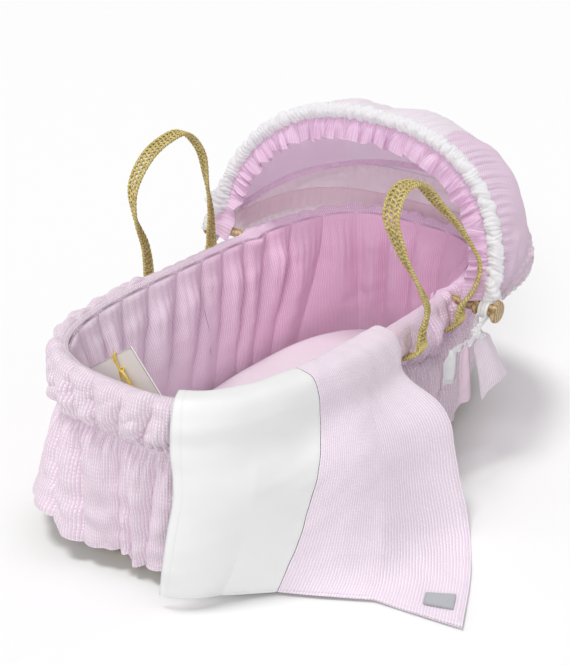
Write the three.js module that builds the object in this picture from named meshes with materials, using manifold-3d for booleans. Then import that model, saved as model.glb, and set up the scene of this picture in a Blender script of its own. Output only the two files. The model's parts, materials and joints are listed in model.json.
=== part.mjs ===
// A moses basket: a woven oval carrying basket with two strap handles, a gathered fabric liner with a
// ruffled skirt, a mattress, a coverlet and a folding fabric hood on two turned pegs.
// Units are millimetres. +X points to the head (hood) end, +Z is up, and the origin is the centre of
// the flat underside of the base.
import * as THREE from "three";
import { mergeVertices } from "three/addons/utils/BufferGeometryUtils.js";
import Module from "manifold-3d";

const wasm = await Module();
wasm.setup();

// ---- Driving dimensions ----
const GAP = 0.4; // space kept between pieces that touch

// The woven body: an oval that flares from the base to the rim
const RIM_HALF_LENGTH = 405.5;
const RIM_HALF_WIDTH = 202;
const RIM_SQUARENESS = 3.2;
const RIM_HEIGHT = 291.5;
const RIM_END_RISE = 3.8;
const RIM_HEAD_DROP = 17;
const BASE_HALF_LENGTH = 386;
const BASE_HALF_WIDTH = 167;
const BASE_SQUARENESS = 3;
const BASE_THICKNESS = 9;
const WALL_THICKNESS = 6;
const COIL_RADIUS = 7.5;
const ROLL_RADIUS = 7;
const ROLL_DROP = 10.4; // from the top of the covered rim to the centre of the woven roll

// Fabric liner
const LINER_THICKNESS = 2.6;
const LINER_FOOT = 10; // from the woven floor up to the liner's lower edge
const CUFF_THICKNESS = 2.6;
const CUFF_PUFF = 29;
const CUFF_DROP = 82;
const CUFF_TUCK = 32;
const ELASTIC_HEIGHT = 7;
const ELASTIC_THICKNESS = 4;
const SKIRT_THICKNESS = 3;
const SKIRT_FLARE = 38;
const SKIRT_HEM_HEIGHT = 38;

// Mattress and its fitted sheet
const MATTRESS_END_GAP = 28; // from the mattress to the lined wall at the base
const MATTRESS_SIDE_GAP = 4;
const MATTRESS_SQUARENESS = 2.6;
const MATTRESS_THICKNESS = 58;
const SHEET_THICKNESS = 1.6;
const MATTRESS_LIFT_GAP = 1;

// Pegs and the hood that turns on them
const PIVOT_X = 158;
const PIVOT_DROP = 8; // from the top of the covered rim down to the pegs' axis
const PEG_STEM_RADIUS = 8;
const PEG_FLANGE_RADIUS = 13;
const PEG_WAIST_RADIUS = 10.5;
const PEG_DISC_RADIUS = 18.5;
const PEG_SEAT = 1.6; // from the outside of the woven roll to the foot of the peg's stem
const PEG_STEM_LENGTH = 47.5;
const PEG_FLANGE_LENGTH = 7;
const PEG_WAIST_LENGTH = 27;
const PEG_DISC_LENGTH = 9;
const PEG_BORE_DEPTH = 32;
const BOLT_RADIUS = 2.75;
const BOLT_CLEARANCE = 0.4;
const BOLT_HEAD_RADIUS = 3.8;
const BOLT_HEAD_THICKNESS = 2;
const WASHER_RADIUS = 4.2;
const WASHER_THICKNESS = 1.2;
const HOOP_RADIUS = 2.5;
const EYE_CLEARANCE = 0.5;
const EYE_WIDTH = 3.5;
const HOOP_SPACING = 5.5; // between the eyes of neighbouring hoops along a peg
const HOOD_BACK_REACH = 35.5; // from the rim at the head end to the back hoop
const BINDING_RADIUS = 13;
const BINDING_START = 27; // from the peg's axis to the lower end of the gathered binding
const CHANNEL_RADIUS = 5.5;
const CHANNEL_START = 62;
const FRILL_DEPTH = 36;
const FRILL_THICKNESS = 7;
const FRILL_START = 66;
const CANOPY_THICKNESS = 3;
const CANOPY_START = 36;
const CANOPY_BACK_LEAN = 92;

// Carrying handles
const STRAP_WIDTH = 30;
const STRAP_THICKNESS = 6.5;
const HANDLE_STANDOFF = 44; // from the middle of the wall at the rim to the strap
const HANDLE_DROP = 25.5; // from the rim's height down to where the strap bends
const HANDLE_HINGE_GAP = 4.4;
const LASHING_RADIUS = 3.6;
const NEAR_HANDLE_FEET = [8, 124];
const FAR_HANDLE_FEET = [-60, 104];
const TAB_WIDTH = 24;
const TAB_THICKNESS = 5;
const SLIT_CLEARANCE = 2;
const SLIT_HEIGHT = 34;
const SLIT_DROP = 20; // from where the strap bends down to the middle of the slit

// Coverlet, keepsake card and bows
const COVERLET_INNER_HEM = 125; // height of the hem that hangs inside the basket
const COVERLET_THICKNESS = 2.6;
const COVERLET_CLEARANCE = 4;
const WHITE_BAND_SHARE = 0.375;
const CARD_WIDTH = 127;
const CARD_HEIGHT = 205;
const CARD_THICKNESS = 3;
const CARD_TILT = 36;
const CARD_LEAN = 5;
const CARD_FROM_FOOT = 48; // from the foot end of the mattress to the corner that the card stands on
const CARD_ASIDE = 21;
const CARD_CLEARANCE = 8;
const TIE_RADIUS = 1.6;
const BOW_THICKNESS = 2.4;
const LABEL_SHARES = [0.86, 0.96];
const LABEL_ALONGS = [0.955, 0.98];
const LABEL_THICKNESS = 0.8;

// Fineness of the curved solids
const RING_STEPS = 44;
const HOOP_STEPS = 18;
const HOOP_SIDES = 6;
const SLEEVE_SIDES = 6;
const LATHE_SIDES = 14;
const CANOPY_COLUMNS = 17;
const STRAP_STEPS = 26;
const COVERLET_ROWS = 24;

// Sizes that follow from the ones above
const WALL_HALF = WALL_THICKNESS / 2;
const LINED_WALL = WALL_HALF + GAP + LINER_THICKNESS;
const MATTRESS_HALF_LENGTH = BASE_HALF_LENGTH - LINED_WALL - MATTRESS_END_GAP;
const MATTRESS_HALF_WIDTH = BASE_HALF_WIDTH - LINED_WALL - MATTRESS_SIDE_GAP;
const MATTRESS_TOP = BASE_THICKNESS + MATTRESS_LIFT_GAP + MATTRESS_THICKNESS + SHEET_THICKNESS + GAP;
const PIVOT_Z = rimTop(PIVOT_X) - PIVOT_DROP;
const PEG_FOOT_Y = rimHalfWidthAt(PIVOT_X) + ROLL_RADIUS + PEG_SEAT;
const PEG_FLANGE_Y = PEG_FOOT_Y + PEG_STEM_LENGTH;
const PEG_WAIST_Y = PEG_FLANGE_Y + PEG_FLANGE_LENGTH;
const PEG_DISC_Y = PEG_WAIST_Y + PEG_WAIST_LENGTH;
const PEG_END_Y = PEG_DISC_Y + PEG_DISC_LENGTH;
const FRONT_EYE_Y = PEG_DISC_Y - 4 * HOOP_RADIUS;
const FRONT_HOOP = { lean: 17.6, height: 255, halfWidth: FRONT_EYE_Y, squareness: 2.33 };
const MID_HOOP = { lean: 68, height: 266, halfWidth: FRONT_EYE_Y - HOOP_SPACING, squareness: 2.1 };
const BACK_HOOP = {
  lean: 90,
  height: RIM_HALF_LENGTH - PIVOT_X + HOOD_BACK_REACH,
  halfWidth: FRONT_EYE_Y - 2 * HOOP_SPACING,
  squareness: 3.4,
};
const HANDLE_Y = RIM_HALF_WIDTH + HANDLE_STANDOFF;
const HANDLE_Z = RIM_HEIGHT - HANDLE_DROP;

const COLOURS = {
  straw: 0xc7ab70,
  wood: 0xa9835a,
  steel: 0xb8bcc0,
  pink: 0xead2e0,
  deepPink: 0xd9a9c6,
  white: 0xf1f3f4,
  cream: 0xf3ece4,
  lilac: 0xded0da,
  grey: 0xc3c7ca,
  raffia: 0xe0b84a,
};

const part = new THREE.Group();
const radians = THREE.MathUtils.degToRad;
const mix = THREE.MathUtils.lerp;
const point = (x, y, z) => new THREE.Vector3(x, y, z);
const steps = (count) => Array.from({ length: count }, (_, i) => i);

// ---- Ways to make closed solids ----

function add(name, geometry, colour, roughness = 0.85, metalness = 0) {
  const material = new THREE.MeshStandardMaterial({ color: colour, roughness, metalness });
  const mesh = new THREE.Mesh(geometry, material);
  mesh.name = name;
  part.add(mesh);
  return mesh;
}

// A closed surface from points and triangles, turned so that its faces point outwards.
function closedSurface(points, faces) {
  const volume = faces.reduce((sum, [a, b, c]) => {
    const cross = new THREE.Vector3().crossVectors(points[b], points[c]);
    return sum + points[a].dot(cross);
  }, 0);
  const turned = volume < 0 ? faces.map(([a, b, c]) => [a, c, b]) : faces;
  const geometry = new THREE.BufferGeometry().setFromPoints(points);
  geometry.setIndex(turned.flat());
  return geometry;
}

// Joins rings of equal length. A looped loft closes on itself; another one gets a cap at each end.
function loft(rings, looped = false) {
  const size = rings[0].length;
  const points = rings.flat();
  const faces = [];
  const joins = looped ? rings.length : rings.length - 1;
  for (let i = 0; i < joins; i++) {
    for (let j = 0; j < size; j++) {
      const a = i * size + j;
      const b = i * size + ((j + 1) % size);
      const next = ((i + 1) % rings.length) * size;
      const c = next + ((j + 1) % size);
      const d = next + j;
      faces.push([a, b, c], [a, c, d]);
    }
  }
  if (!looped) {
    [0, rings.length - 1].forEach((end) => {
      const centre = rings[end].reduce((sum, p) => sum.add(p), point(0, 0, 0)).divideScalar(size);
      points.push(centre);
      for (let j = 0; j < size; j++) {
        const a = end * size + j;
        const b = end * size + ((j + 1) % size);
        faces.push(end === 0 ? [points.length - 1, b, a] : [points.length - 1, a, b]);
      }
    });
  }
  return closedSurface(points, faces);
}

// A sheet between two grids of points that have the same rows and columns.
function sheet(outer, inner) {
  const rows = outer.length;
  const columns = outer[0].length;
  const points = [...outer.flat(), ...inner.flat()];
  const faces = [];
  const quad = (a, b, c, d) => faces.push([a, b, c], [a, c, d]);
  const o = (i, j) => i * columns + j;
  const n = (i, j) => (rows + i) * columns + j;
  for (let i = 0; i < rows - 1; i++) {
    for (let j = 0; j < columns - 1; j++) {
      quad(o(i, j), o(i, j + 1), o(i + 1, j + 1), o(i + 1, j));
      quad(n(i, j), n(i + 1, j), n(i + 1, j + 1), n(i, j + 1));
    }
    const last = columns - 1;
    quad(o(i, 0), o(i + 1, 0), n(i + 1, 0), n(i, 0));
    quad(o(i + 1, last), o(i, last), n(i, last), n(i + 1, last));
  }
  for (let j = 0; j < columns - 1; j++) {
    const last = rows - 1;
    quad(o(0, j + 1), o(0, j), n(0, j), n(0, j + 1));
    quad(o(last, j), o(last, j + 1), n(last, j + 1), n(last, j));
  }
  return closedSurface(points, faces);
}

// A grid's points moved along the grid's own normals.
function offsetGrid(grid, distance) {
  const clamp = THREE.MathUtils.clamp;
  return grid.map((row, i) =>
    row.map((p, j) => {
      const at = (u, v) => grid[clamp(u, 0, grid.length - 1)][clamp(v, 0, row.length - 1)];
      const along = at(i, j + 1).clone().sub(at(i, j - 1));
      const across = at(i + 1, j).clone().sub(at(i - 1, j));
      const normal = along.cross(across).normalize();
      return p.clone().addScaledVector(normal, distance);
    }),
  );
}

// A strap with a rectangular section along a list of {at, tangent, across, width} stations.
function strap(stations, thickness) {
  const rings = stations.map(({ at, across, width, tangent }) => {
    const side = across.clone().addScaledVector(tangent, -across.dot(tangent)).normalize();
    const face = new THREE.Vector3().crossVectors(tangent, side);
    const corners = [
      [1, 1],
      [-1, 1],
      [-1, -1],
      [1, -1],
    ];
    return corners.map(([u, v]) =>
      at
        .clone()
        .addScaledVector(side, (u * width) / 2)
        .addScaledVector(face, (v * thickness) / 2),
    );
  });
  return loft(rings);
}

function toSolid(geometry) {
  const bare = geometry.clone();
  bare.deleteAttribute("normal");
  bare.deleteAttribute("uv");
  const merged = mergeVertices(bare, 1e-3);
  return new wasm.Manifold(
    new wasm.Mesh({
      numProp: 3,
      vertProperties: merged.attributes.position.array,
      triVerts: new Uint32Array(merged.index.array),
    }),
  );
}

function fromSolid(solid) {
  const mesh = solid.getMesh();
  const geometry = new THREE.BufferGeometry();
  geometry.setAttribute("position", new THREE.BufferAttribute(mesh.vertProperties, 3));
  geometry.setIndex(new THREE.BufferAttribute(mesh.triVerts, 1));
  return geometry;
}

const cut = (geometry, cutters) =>
  fromSolid(cutters.reduce((solid, cutter) => solid.subtract(toSolid(cutter)), toSolid(geometry)));
const join = (geometries) =>
  fromSolid(geometries.map(toSolid).reduce((solid, other) => solid.add(other)));

// A lathe profile of [radius, distance] pairs turned about the Y axis, pointing out on the given side.
function turned(profile, side) {
  const outline = profile.map(([r, y]) => new THREE.Vector2(r, y));
  const geometry = new THREE.LatheGeometry(outline, LATHE_SIDES);
  if (side < 0) geometry.rotateX(Math.PI);
  return geometry;
}

// A cylinder along Y from one distance to another, for holes.
function crossBore(radius, x, fromY, toY, z) {
  const geometry = new THREE.CylinderGeometry(radius, radius, Math.abs(toY - fromY), LATHE_SIDES);
  return geometry.translate(x, (fromY + toY) / 2, z);
}

// ---- The oval of the basket ----

// A point of a squared oval and the outward direction there.
function oval(turn, halfLength, halfWidth, squareness) {
  const c = Math.cos(turn);
  const s = Math.sin(turn);
  const x = Math.sign(c) * Math.abs(c) ** (2 / squareness);
  const y = Math.sign(s) * Math.abs(s) ** (2 / squareness);
  const normal = point(
    (Math.sign(x) * Math.abs(x) ** (squareness - 1)) / halfLength,
    (Math.sign(y) * Math.abs(y) ** (squareness - 1)) / halfWidth,
    0,
  ).normalize();
  return { x: x * halfLength, y: y * halfWidth, normal };
}

// The top of the covered rim rises at both ends and drops towards the head.
function rimTop(x) {
  const share = x / RIM_HALF_LENGTH;
  return RIM_HEIGHT + RIM_END_RISE * share ** 2 - RIM_HEAD_DROP * share;
}

function rimHalfWidthAt(x) {
  const share = Math.min(Math.abs(x) / RIM_HALF_LENGTH, 1);
  return RIM_HALF_WIDTH * (1 - share ** RIM_SQUARENESS) ** (1 / RIM_SQUARENESS);
}

const FLOOR = 0;
const RIM = 1;

// A point beside the wall: outset from its middle, and a rise above the floor or above the rim's top.
function besideWall(turn, outset, anchor, rise) {
  const rim = oval(turn, RIM_HALF_LENGTH, RIM_HALF_WIDTH, RIM_SQUARENESS);
  const base = oval(turn, BASE_HALF_LENGTH, BASE_HALF_WIDTH, BASE_SQUARENESS);
  const top = rimTop(rim.x);
  const z = anchor * top + rise;
  const share = z / top;
  return point(
    mix(base.x, rim.x, share) + rim.normal.x * outset,
    mix(base.y, rim.y, share) + rim.normal.y * outset,
    z,
  );
}

// The same point found from its place along the length on one long side (side is -1 or 1).
function besideWallAt(x, side, outset, anchor, rise) {
  const share = Math.min(Math.abs(x) / RIM_HALF_LENGTH, 1);
  const turn = Math.acos(Math.sign(x || 1) * share ** (RIM_SQUARENESS / 2));
  return besideWall(side * turn, outset, anchor, rise);
}

function ringAround(profile) {
  const rings = steps(RING_STEPS).map((i) => {
    const turn = (2 * Math.PI * i) / RING_STEPS;
    return profile.map(([outset, anchor, rise]) => besideWall(turn, outset, anchor, rise));
  });
  return loft(rings, true);
}

function roundProfile(outset, anchor, rise, radius, sides) {
  return steps(sides).map((i) => {
    const turn = (2 * Math.PI * i) / sides + Math.PI / 2 - Math.PI / sides;
    return [outset + radius * Math.cos(turn), anchor, rise + radius * Math.sin(turn)];
  });
}

function ovalSlab(halfLength, halfWidth, squareness, levels) {
  const rings = levels.map(([inset, z]) =>
    steps(RING_STEPS).map((i) => {
      const turn = (2 * Math.PI * i) / RING_STEPS;
      const at = oval(turn, halfLength - inset, halfWidth - inset, squareness);
      return point(at.x, at.y, z);
    }),
  );
  return loft(rings);
}

// ---- Woven body ----

const HALFWAY = RIM_HEIGHT / 2;
const SKIRT_BEND = 0.38 * RIM_HEIGHT;

function woven() {
  const coilReach = COIL_RADIUS / Math.cos(Math.PI / 6);
  const edge = coilReach + GAP;
  const board = [
    [edge, 0],
    [edge, BASE_THICKNESS],
  ];
  add(
    "base_woven_floor",
    ovalSlab(BASE_HALF_LENGTH, BASE_HALF_WIDTH, BASE_SQUARENESS, board),
    COLOURS.straw,
  );
  const coil = roundProfile(0, FLOOR, COIL_RADIUS, coilReach, 6);
  add("base_edge_coil", ringAround(coil), COLOURS.straw);
  const wallFoot = 2 * COIL_RADIUS + 3 * GAP;
  const wallTop = -ROLL_DROP - ROLL_RADIUS - GAP;
  const wall = [
    [WALL_HALF, FLOOR, wallFoot],
    [WALL_HALF, FLOOR, HALFWAY],
    [WALL_HALF, RIM, wallTop],
    [-WALL_HALF, RIM, wallTop],
    [-WALL_HALF, FLOOR, HALFWAY],
    [-WALL_HALF, FLOOR, wallFoot],
  ];
  add("wall_woven_palm", ringAround(wall), COLOURS.straw);
  const roll = ringAround(roundProfile(0, RIM, -ROLL_DROP, ROLL_RADIUS, 6));
  const holes = [-1, 1].map((side) =>
    crossBore(BOLT_RADIUS + BOLT_CLEARANCE, PIVOT_X, 0, side * PEG_FLANGE_Y, PIVOT_Z),
  );
  add("rim_wrapped_roll", cut(roll, holes), COLOURS.straw);
}

// ---- Fabric liner ----

const cuffOutside = [
  [-14.5, -CUFF_TUCK],
  [-18.6, -12],
  [-14, -0.4],
  [12, -1.2],
  [CUFF_PUFF - 4, -23],
  [CUFF_PUFF, -48],
  [CUFF_PUFF - 6, -70],
  [12, -CUFF_DROP],
];
const cuffInside = [
  [9.5, -CUFF_DROP + 1.6],
  [CUFF_PUFF - 8.6, -68.5],
  [CUFF_PUFF - CUFF_THICKNESS, -48],
  [CUFF_PUFF - 6.6, -24.2],
  [9.6, -3.9],
  [-12.5, -0.4 - CUFF_THICKNESS],
  [-15.9, -12.6],
  [-11.9, -CUFF_TUCK],
];

function slit(x, side) {
  const width = TAB_WIDTH + 2 * SLIT_CLEARANCE;
  const depth = CUFF_PUFF + 5;
  const box = new THREE.BoxGeometry(width, depth, SLIT_HEIGHT);
  return box.translate(x, side * (HANDLE_Y - 3 - depth / 2), HANDLE_Z - SLIT_DROP);
}

function liner() {
  const top = -CUFF_TUCK + 8;
  const face = -WALL_HALF - GAP;
  const foot = BASE_THICKNESS + LINER_FOOT;
  const inner = [
    [face, RIM, top],
    [face, FLOOR, HALFWAY],
    [face, FLOOR, foot],
    [-LINED_WALL, FLOOR, foot],
    [-LINED_WALL, FLOOR, HALFWAY],
    [-LINED_WALL, RIM, top],
  ];
  add("liner_inside", ringAround(inner), COLOURS.pink);
  const cuff = ringAround([...cuffOutside, ...cuffInside].map(([outset, rise]) => [outset, RIM, rise]));
  const slits = [
    ...NEAR_HANDLE_FEET.map((x) => slit(x, -1)),
    ...FAR_HANDLE_FEET.map((x) => slit(x, 1)),
  ];
  const pegHoles = [-1, 1].map((side) =>
    crossBore(PEG_STEM_RADIUS + 1, PIVOT_X, side * (PEG_FOOT_Y - 4), side * PEG_FLANGE_Y, PIVOT_Z),
  );
  add("liner_cuff", cut(cuff, [...slits, ...pegHoles]), COLOURS.pink);
  const low = -CUFF_DROP - 2;
  const grip = WALL_HALF + 2 * GAP;
  const elastic = [
    [grip, RIM, low],
    [grip + ELASTIC_THICKNESS, RIM, low],
    [grip + ELASTIC_THICKNESS, RIM, low - ELASTIC_HEIGHT],
    [grip, RIM, low - ELASTIC_HEIGHT],
  ];
  add("liner_elastic", ringAround(elastic), COLOURS.white);
  const seam = low - ELASTIC_HEIGHT - 1;
  const outside = [
    [9, RIM, seam],
    [20, RIM, seam - 12],
    [SKIRT_FLARE - 8, FLOOR, SKIRT_BEND],
    [SKIRT_FLARE, FLOOR, SKIRT_HEM_HEIGHT],
  ];
  const inside = [
    [SKIRT_FLARE - SKIRT_THICKNESS, FLOOR, SKIRT_HEM_HEIGHT],
    [SKIRT_FLARE - 8 - SKIRT_THICKNESS, FLOOR, SKIRT_BEND],
    [17, RIM, seam - 13],
    [5, RIM, seam - 2],
  ];
  add("liner_skirt", ringAround([...outside, ...inside]), COLOURS.pink);
}

// ---- Mattress ----

function bedding() {
  const floor = BASE_THICKNESS + MATTRESS_LIFT_GAP;
  const skin = SHEET_THICKNESS + GAP;
  const core = [
    [6, floor],
    [0, floor + 12],
    [0, floor + MATTRESS_THICKNESS - 14],
    [9, floor + MATTRESS_THICKNESS],
  ];
  add(
    "mattress_core",
    ovalSlab(MATTRESS_HALF_LENGTH, MATTRESS_HALF_WIDTH, MATTRESS_SQUARENESS, core),
    COLOURS.cream,
  );
  // The sheet is a skin over the top and sides, open underneath.
  const roof = floor + MATTRESS_THICKNESS;
  const skirted = [
    [9 - skin, roof + skin],
    [-skin - 0.6, roof - 12],
    [-skin - 0.6, floor + 4],
    [-GAP, floor + 4],
    [-GAP, roof - 13.4],
    [9, roof + GAP],
  ];
  add(
    "mattress_fitted_sheet",
    ovalSlab(MATTRESS_HALF_LENGTH, MATTRESS_HALF_WIDTH, MATTRESS_SQUARENESS, skirted),
    COLOURS.lilac,
  );
}

// ---- Pegs ----

function peg(label, side) {
  const bore = BOLT_RADIUS + BOLT_CLEARANCE;
  const profile = [
    [0, PEG_FOOT_Y + PEG_BORE_DEPTH],
    [bore, PEG_FOOT_Y + PEG_BORE_DEPTH],
    [bore, PEG_FOOT_Y],
    [PEG_STEM_RADIUS, PEG_FOOT_Y],
    [PEG_STEM_RADIUS, PEG_FLANGE_Y - 2],
    [PEG_FLANGE_RADIUS, PEG_FLANGE_Y],
    [PEG_FLANGE_RADIUS, PEG_WAIST_Y - 2],
    [PEG_WAIST_RADIUS, PEG_WAIST_Y],
    [PEG_WAIST_RADIUS, PEG_DISC_Y - 2],
    [PEG_DISC_RADIUS - 2, PEG_DISC_Y],
    [PEG_DISC_RADIUS, PEG_DISC_Y + 3],
    [PEG_DISC_RADIUS - 1, PEG_END_Y - 3],
    [PEG_DISC_RADIUS - 5, PEG_END_Y],
    [0, PEG_END_Y],
  ];
  const rimAt = besideWallAt(PIVOT_X, side, 0, RIM, -ROLL_DROP);
  const rollInside = Math.abs(rimAt.y) - ROLL_RADIUS - 2 * GAP;
  const washerAt = rollInside - WASHER_THICKNESS;
  const headAt = washerAt - GAP;
  const shank = [
    [0, headAt - BOLT_HEAD_THICKNESS],
    [BOLT_HEAD_RADIUS, headAt - BOLT_HEAD_THICKNESS],
    [BOLT_HEAD_RADIUS, headAt],
    [BOLT_RADIUS, headAt],
    [BOLT_RADIUS, PEG_FOOT_Y + PEG_BORE_DEPTH - 3],
    [0, PEG_FOOT_Y + PEG_BORE_DEPTH - 3],
  ];
  const ring = [
    [BOLT_RADIUS + BOLT_CLEARANCE, washerAt],
    [WASHER_RADIUS, washerAt],
    [WASHER_RADIUS, rollInside],
    [BOLT_RADIUS + BOLT_CLEARANCE, rollInside],
    [BOLT_RADIUS + BOLT_CLEARANCE, washerAt],
  ];
  const pieces = [
    ["peg_" + label + "_turned_wood", profile, COLOURS.wood, 0.5, 0],
    ["peg_" + label + "_bolt", shank, COLOURS.steel, 0.35, 1],
    ["peg_" + label + "_washer", ring, COLOURS.steel, 0.35, 1],
  ];
  pieces.forEach(([name, outline, colour, roughness, metalness]) => {
    const mesh = add(name, turned(outline, side), colour, roughness, metalness);
    mesh.position.set(PIVOT_X, 0, PIVOT_Z);
  });
}

// ---- Hood ----

// A point of a hoop-shaped curve about the pegs: turn runs from 0 at the near peg to pi at the far peg.
function hoopPoint({ lean, height, halfWidth, squareness }, turn) {
  const c = Math.cos(turn);
  const s = Math.sin(turn);
  const rise = height * Math.abs(s) ** (2 / squareness);
  return point(
    PIVOT_X + rise * Math.sin(radians(lean)),
    -halfWidth * Math.sign(c) * Math.abs(c) ** (2 / squareness),
    PIVOT_Z + rise * Math.cos(radians(lean)),
  );
}

// The turn at which a hoop is at the given distance from the pegs' axis.
const turnAt = ({ height, squareness }, distance) =>
  Math.asin((distance / height) ** (squareness / 2));

class HoopCurve extends THREE.Curve {
  constructor(hoop, startDistance) {
    super();
    this.hoop = hoop;
    this.start = turnAt(hoop, startDistance);
  }
  getPoint(share) {
    return hoopPoint(this.hoop, mix(this.start, Math.PI - this.start, share));
  }
}

function hoopRings(hoop, startDistance, radius, sides) {
  const curve = new HoopCurve(hoop, startDistance);
  const plane = point(Math.cos(radians(hoop.lean)), 0, -Math.sin(radians(hoop.lean)));
  return steps(HOOP_STEPS + 1).map((i) => {
    const share = i / HOOP_STEPS;
    const at = curve.getPoint(share);
    const tangent = curve.getTangent(share);
    const inwards = new THREE.Vector3().crossVectors(plane, tangent).normalize();
    return steps(sides).map((j) => {
      const turn = (2 * Math.PI * j) / sides;
      return at
        .clone()
        .addScaledVector(plane, radius * Math.cos(turn))
        .addScaledVector(inwards, radius * Math.sin(turn));
    });
  });
}

// A wire hoop whose two ends are eyes round the pegs' waists.
function hoop(name, shape) {
  const bore = PEG_WAIST_RADIUS + EYE_CLEARANCE;
  const rod = loft(hoopRings(shape, bore + 2.4, HOOP_RADIUS, HOOP_SIDES));
  const eyes = [-1, 1].map((side) => {
    const from = shape.halfWidth - HOOP_RADIUS;
    const to = shape.halfWidth + HOOP_RADIUS;
    const outline = [
      [bore, from],
      [bore + EYE_WIDTH, from],
      [bore + EYE_WIDTH, to],
      [bore, to],
      [bore, from],
    ];
    return turned(outline, side).translate(PIVOT_X, 0, PIVOT_Z);
  });
  add(name, join([rod, ...eyes]), COLOURS.steel, 0.4, 1);
}

// A gathered sleeve of cloth round a hoop.
function sleeve(name, shape, startDistance, radius, colour) {
  const outer = hoopRings(shape, startDistance, radius, SLEEVE_SIDES);
  const inner = hoopRings(shape, startDistance, HOOP_RADIUS + 1.6, SLEEVE_SIDES);
  add(name, loft([...outer, ...inner.reverse()], true), colour);
}

function frill() {
  const curve = new HoopCurve(FRONT_HOOP, FRILL_START);
  const plane = point(Math.cos(radians(FRONT_HOOP.lean)), 0, -Math.sin(radians(FRONT_HOOP.lean)));
  const start = BINDING_RADIUS + 1.2;
  const rings = steps(HOOP_STEPS + 1).map((i) => {
    const share = i / HOOP_STEPS;
    const at = curve.getPoint(share);
    const inwards = new THREE.Vector3().crossVectors(plane, curve.getTangent(share)).normalize();
    const centre = point(PIVOT_X, 0, PIVOT_Z);
    if (inwards.dot(centre.sub(at)) < 0) inwards.negate();
    const edges = [
      [start, -FRILL_THICKNESS / 2],
      [start, FRILL_THICKNESS / 2],
      [start + FRILL_DEPTH, FRILL_THICKNESS / 2],
      [start + FRILL_DEPTH, -FRILL_THICKNESS / 2],
    ];
    return edges.map(([depth, offset]) =>
      at.clone().addScaledVector(inwards, depth).addScaledVector(plane, offset),
    );
  });
  add("hood_frill", loft(rings), COLOURS.deepPink);
}

// The canopy's outer shape at a lean angle: it passes over the middle hoop and ends past the back hoop.
function canopyShape(lean) {
  const share = (lean - FRONT_HOOP.lean) / (BACK_HOOP.lean - FRONT_HOOP.lean);
  const bulge = 11 * Math.sin(Math.PI * Math.min(share * 1.4, 1));
  return {
    lean,
    height: mix(FRONT_HOOP.height, BACK_HOOP.height + 7, share) + 1 + bulge * 0.3,
    halfWidth: mix(FRONT_HOOP.halfWidth + 5, BACK_HOOP.halfWidth + 7, share),
    squareness: mix(FRONT_HOOP.squareness, BACK_HOOP.squareness, share),
  };
}

function canopySection(name, fromLean, toLean, leanSteps, colour) {
  const columns = CANOPY_COLUMNS;
  const outer = steps(leanSteps + 1).map((i) =>
    steps(columns).map((j) => {
      const first = canopyShape(FRONT_HOOP.lean);
      const start = turnAt(first, CANOPY_START);
      const turn = mix(start, Math.PI - start, j / (columns - 1));
      const reach = first.height * Math.sin(turn) ** (2 / first.squareness);
      const clear = THREE.MathUtils.radToDeg((BINDING_RADIUS + 2.4) / reach);
      const from = fromLean === FRONT_HOOP.lean ? FRONT_HOOP.lean + clear : fromLean;
      return hoopPoint(canopyShape(mix(Math.min(from, toLean - 4), toLean, i / leanSteps)), turn);
    }),
  );
  const inwards = offsetGrid(outer, CANOPY_THICKNESS);
  const centre = point(PIVOT_X, 0, PIVOT_Z);
  const middle = (grid) => grid[0][(columns - 1) / 2].distanceTo(centre);
  const inner = middle(inwards) < middle(outer) ? inwards : offsetGrid(outer, -CANOPY_THICKNESS);
  add(name, sheet(outer, inner), colour);
}

function hood() {
  hoop("hood_front_hoop", FRONT_HOOP);
  hoop("hood_middle_hoop", MID_HOOP);
  hoop("hood_back_hoop", BACK_HOOP);
  sleeve("hood_front_binding", FRONT_HOOP, BINDING_START, BINDING_RADIUS, COLOURS.white);
  sleeve("hood_middle_channel", MID_HOOP, CHANNEL_START, CHANNEL_RADIUS, COLOURS.deepPink);
  frill();
  canopySection("hood_front_canopy", FRONT_HOOP.lean, MID_HOOP.lean + 6, 5, COLOURS.white);
  canopySection("hood_back_canopy", MID_HOOP.lean + 6.4, CANOPY_BACK_LEAN, 6, COLOURS.pink);
}

// ---- Handles ----

// The strap turns from lying flat against the basket at its feet to lying level at the grip.
function twistedStations(points, count, leanTurns) {
  const curve = new THREE.CatmullRomCurve3(points, false, "centripetal");
  return steps(count + 1).map((i) => {
    const share = i / count;
    const turn = (Math.PI / 2) * Math.sin(Math.PI * share) ** leanTurns;
    const width = mix(TAB_WIDTH, STRAP_WIDTH, Math.min(1, 6 * share, 6 * (1 - share)));
    const across = point(Math.cos(turn), Math.sin(turn), 0);
    return { at: curve.getPointAt(share), tangent: curve.getTangentAt(share), across, width };
  });
}

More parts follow.
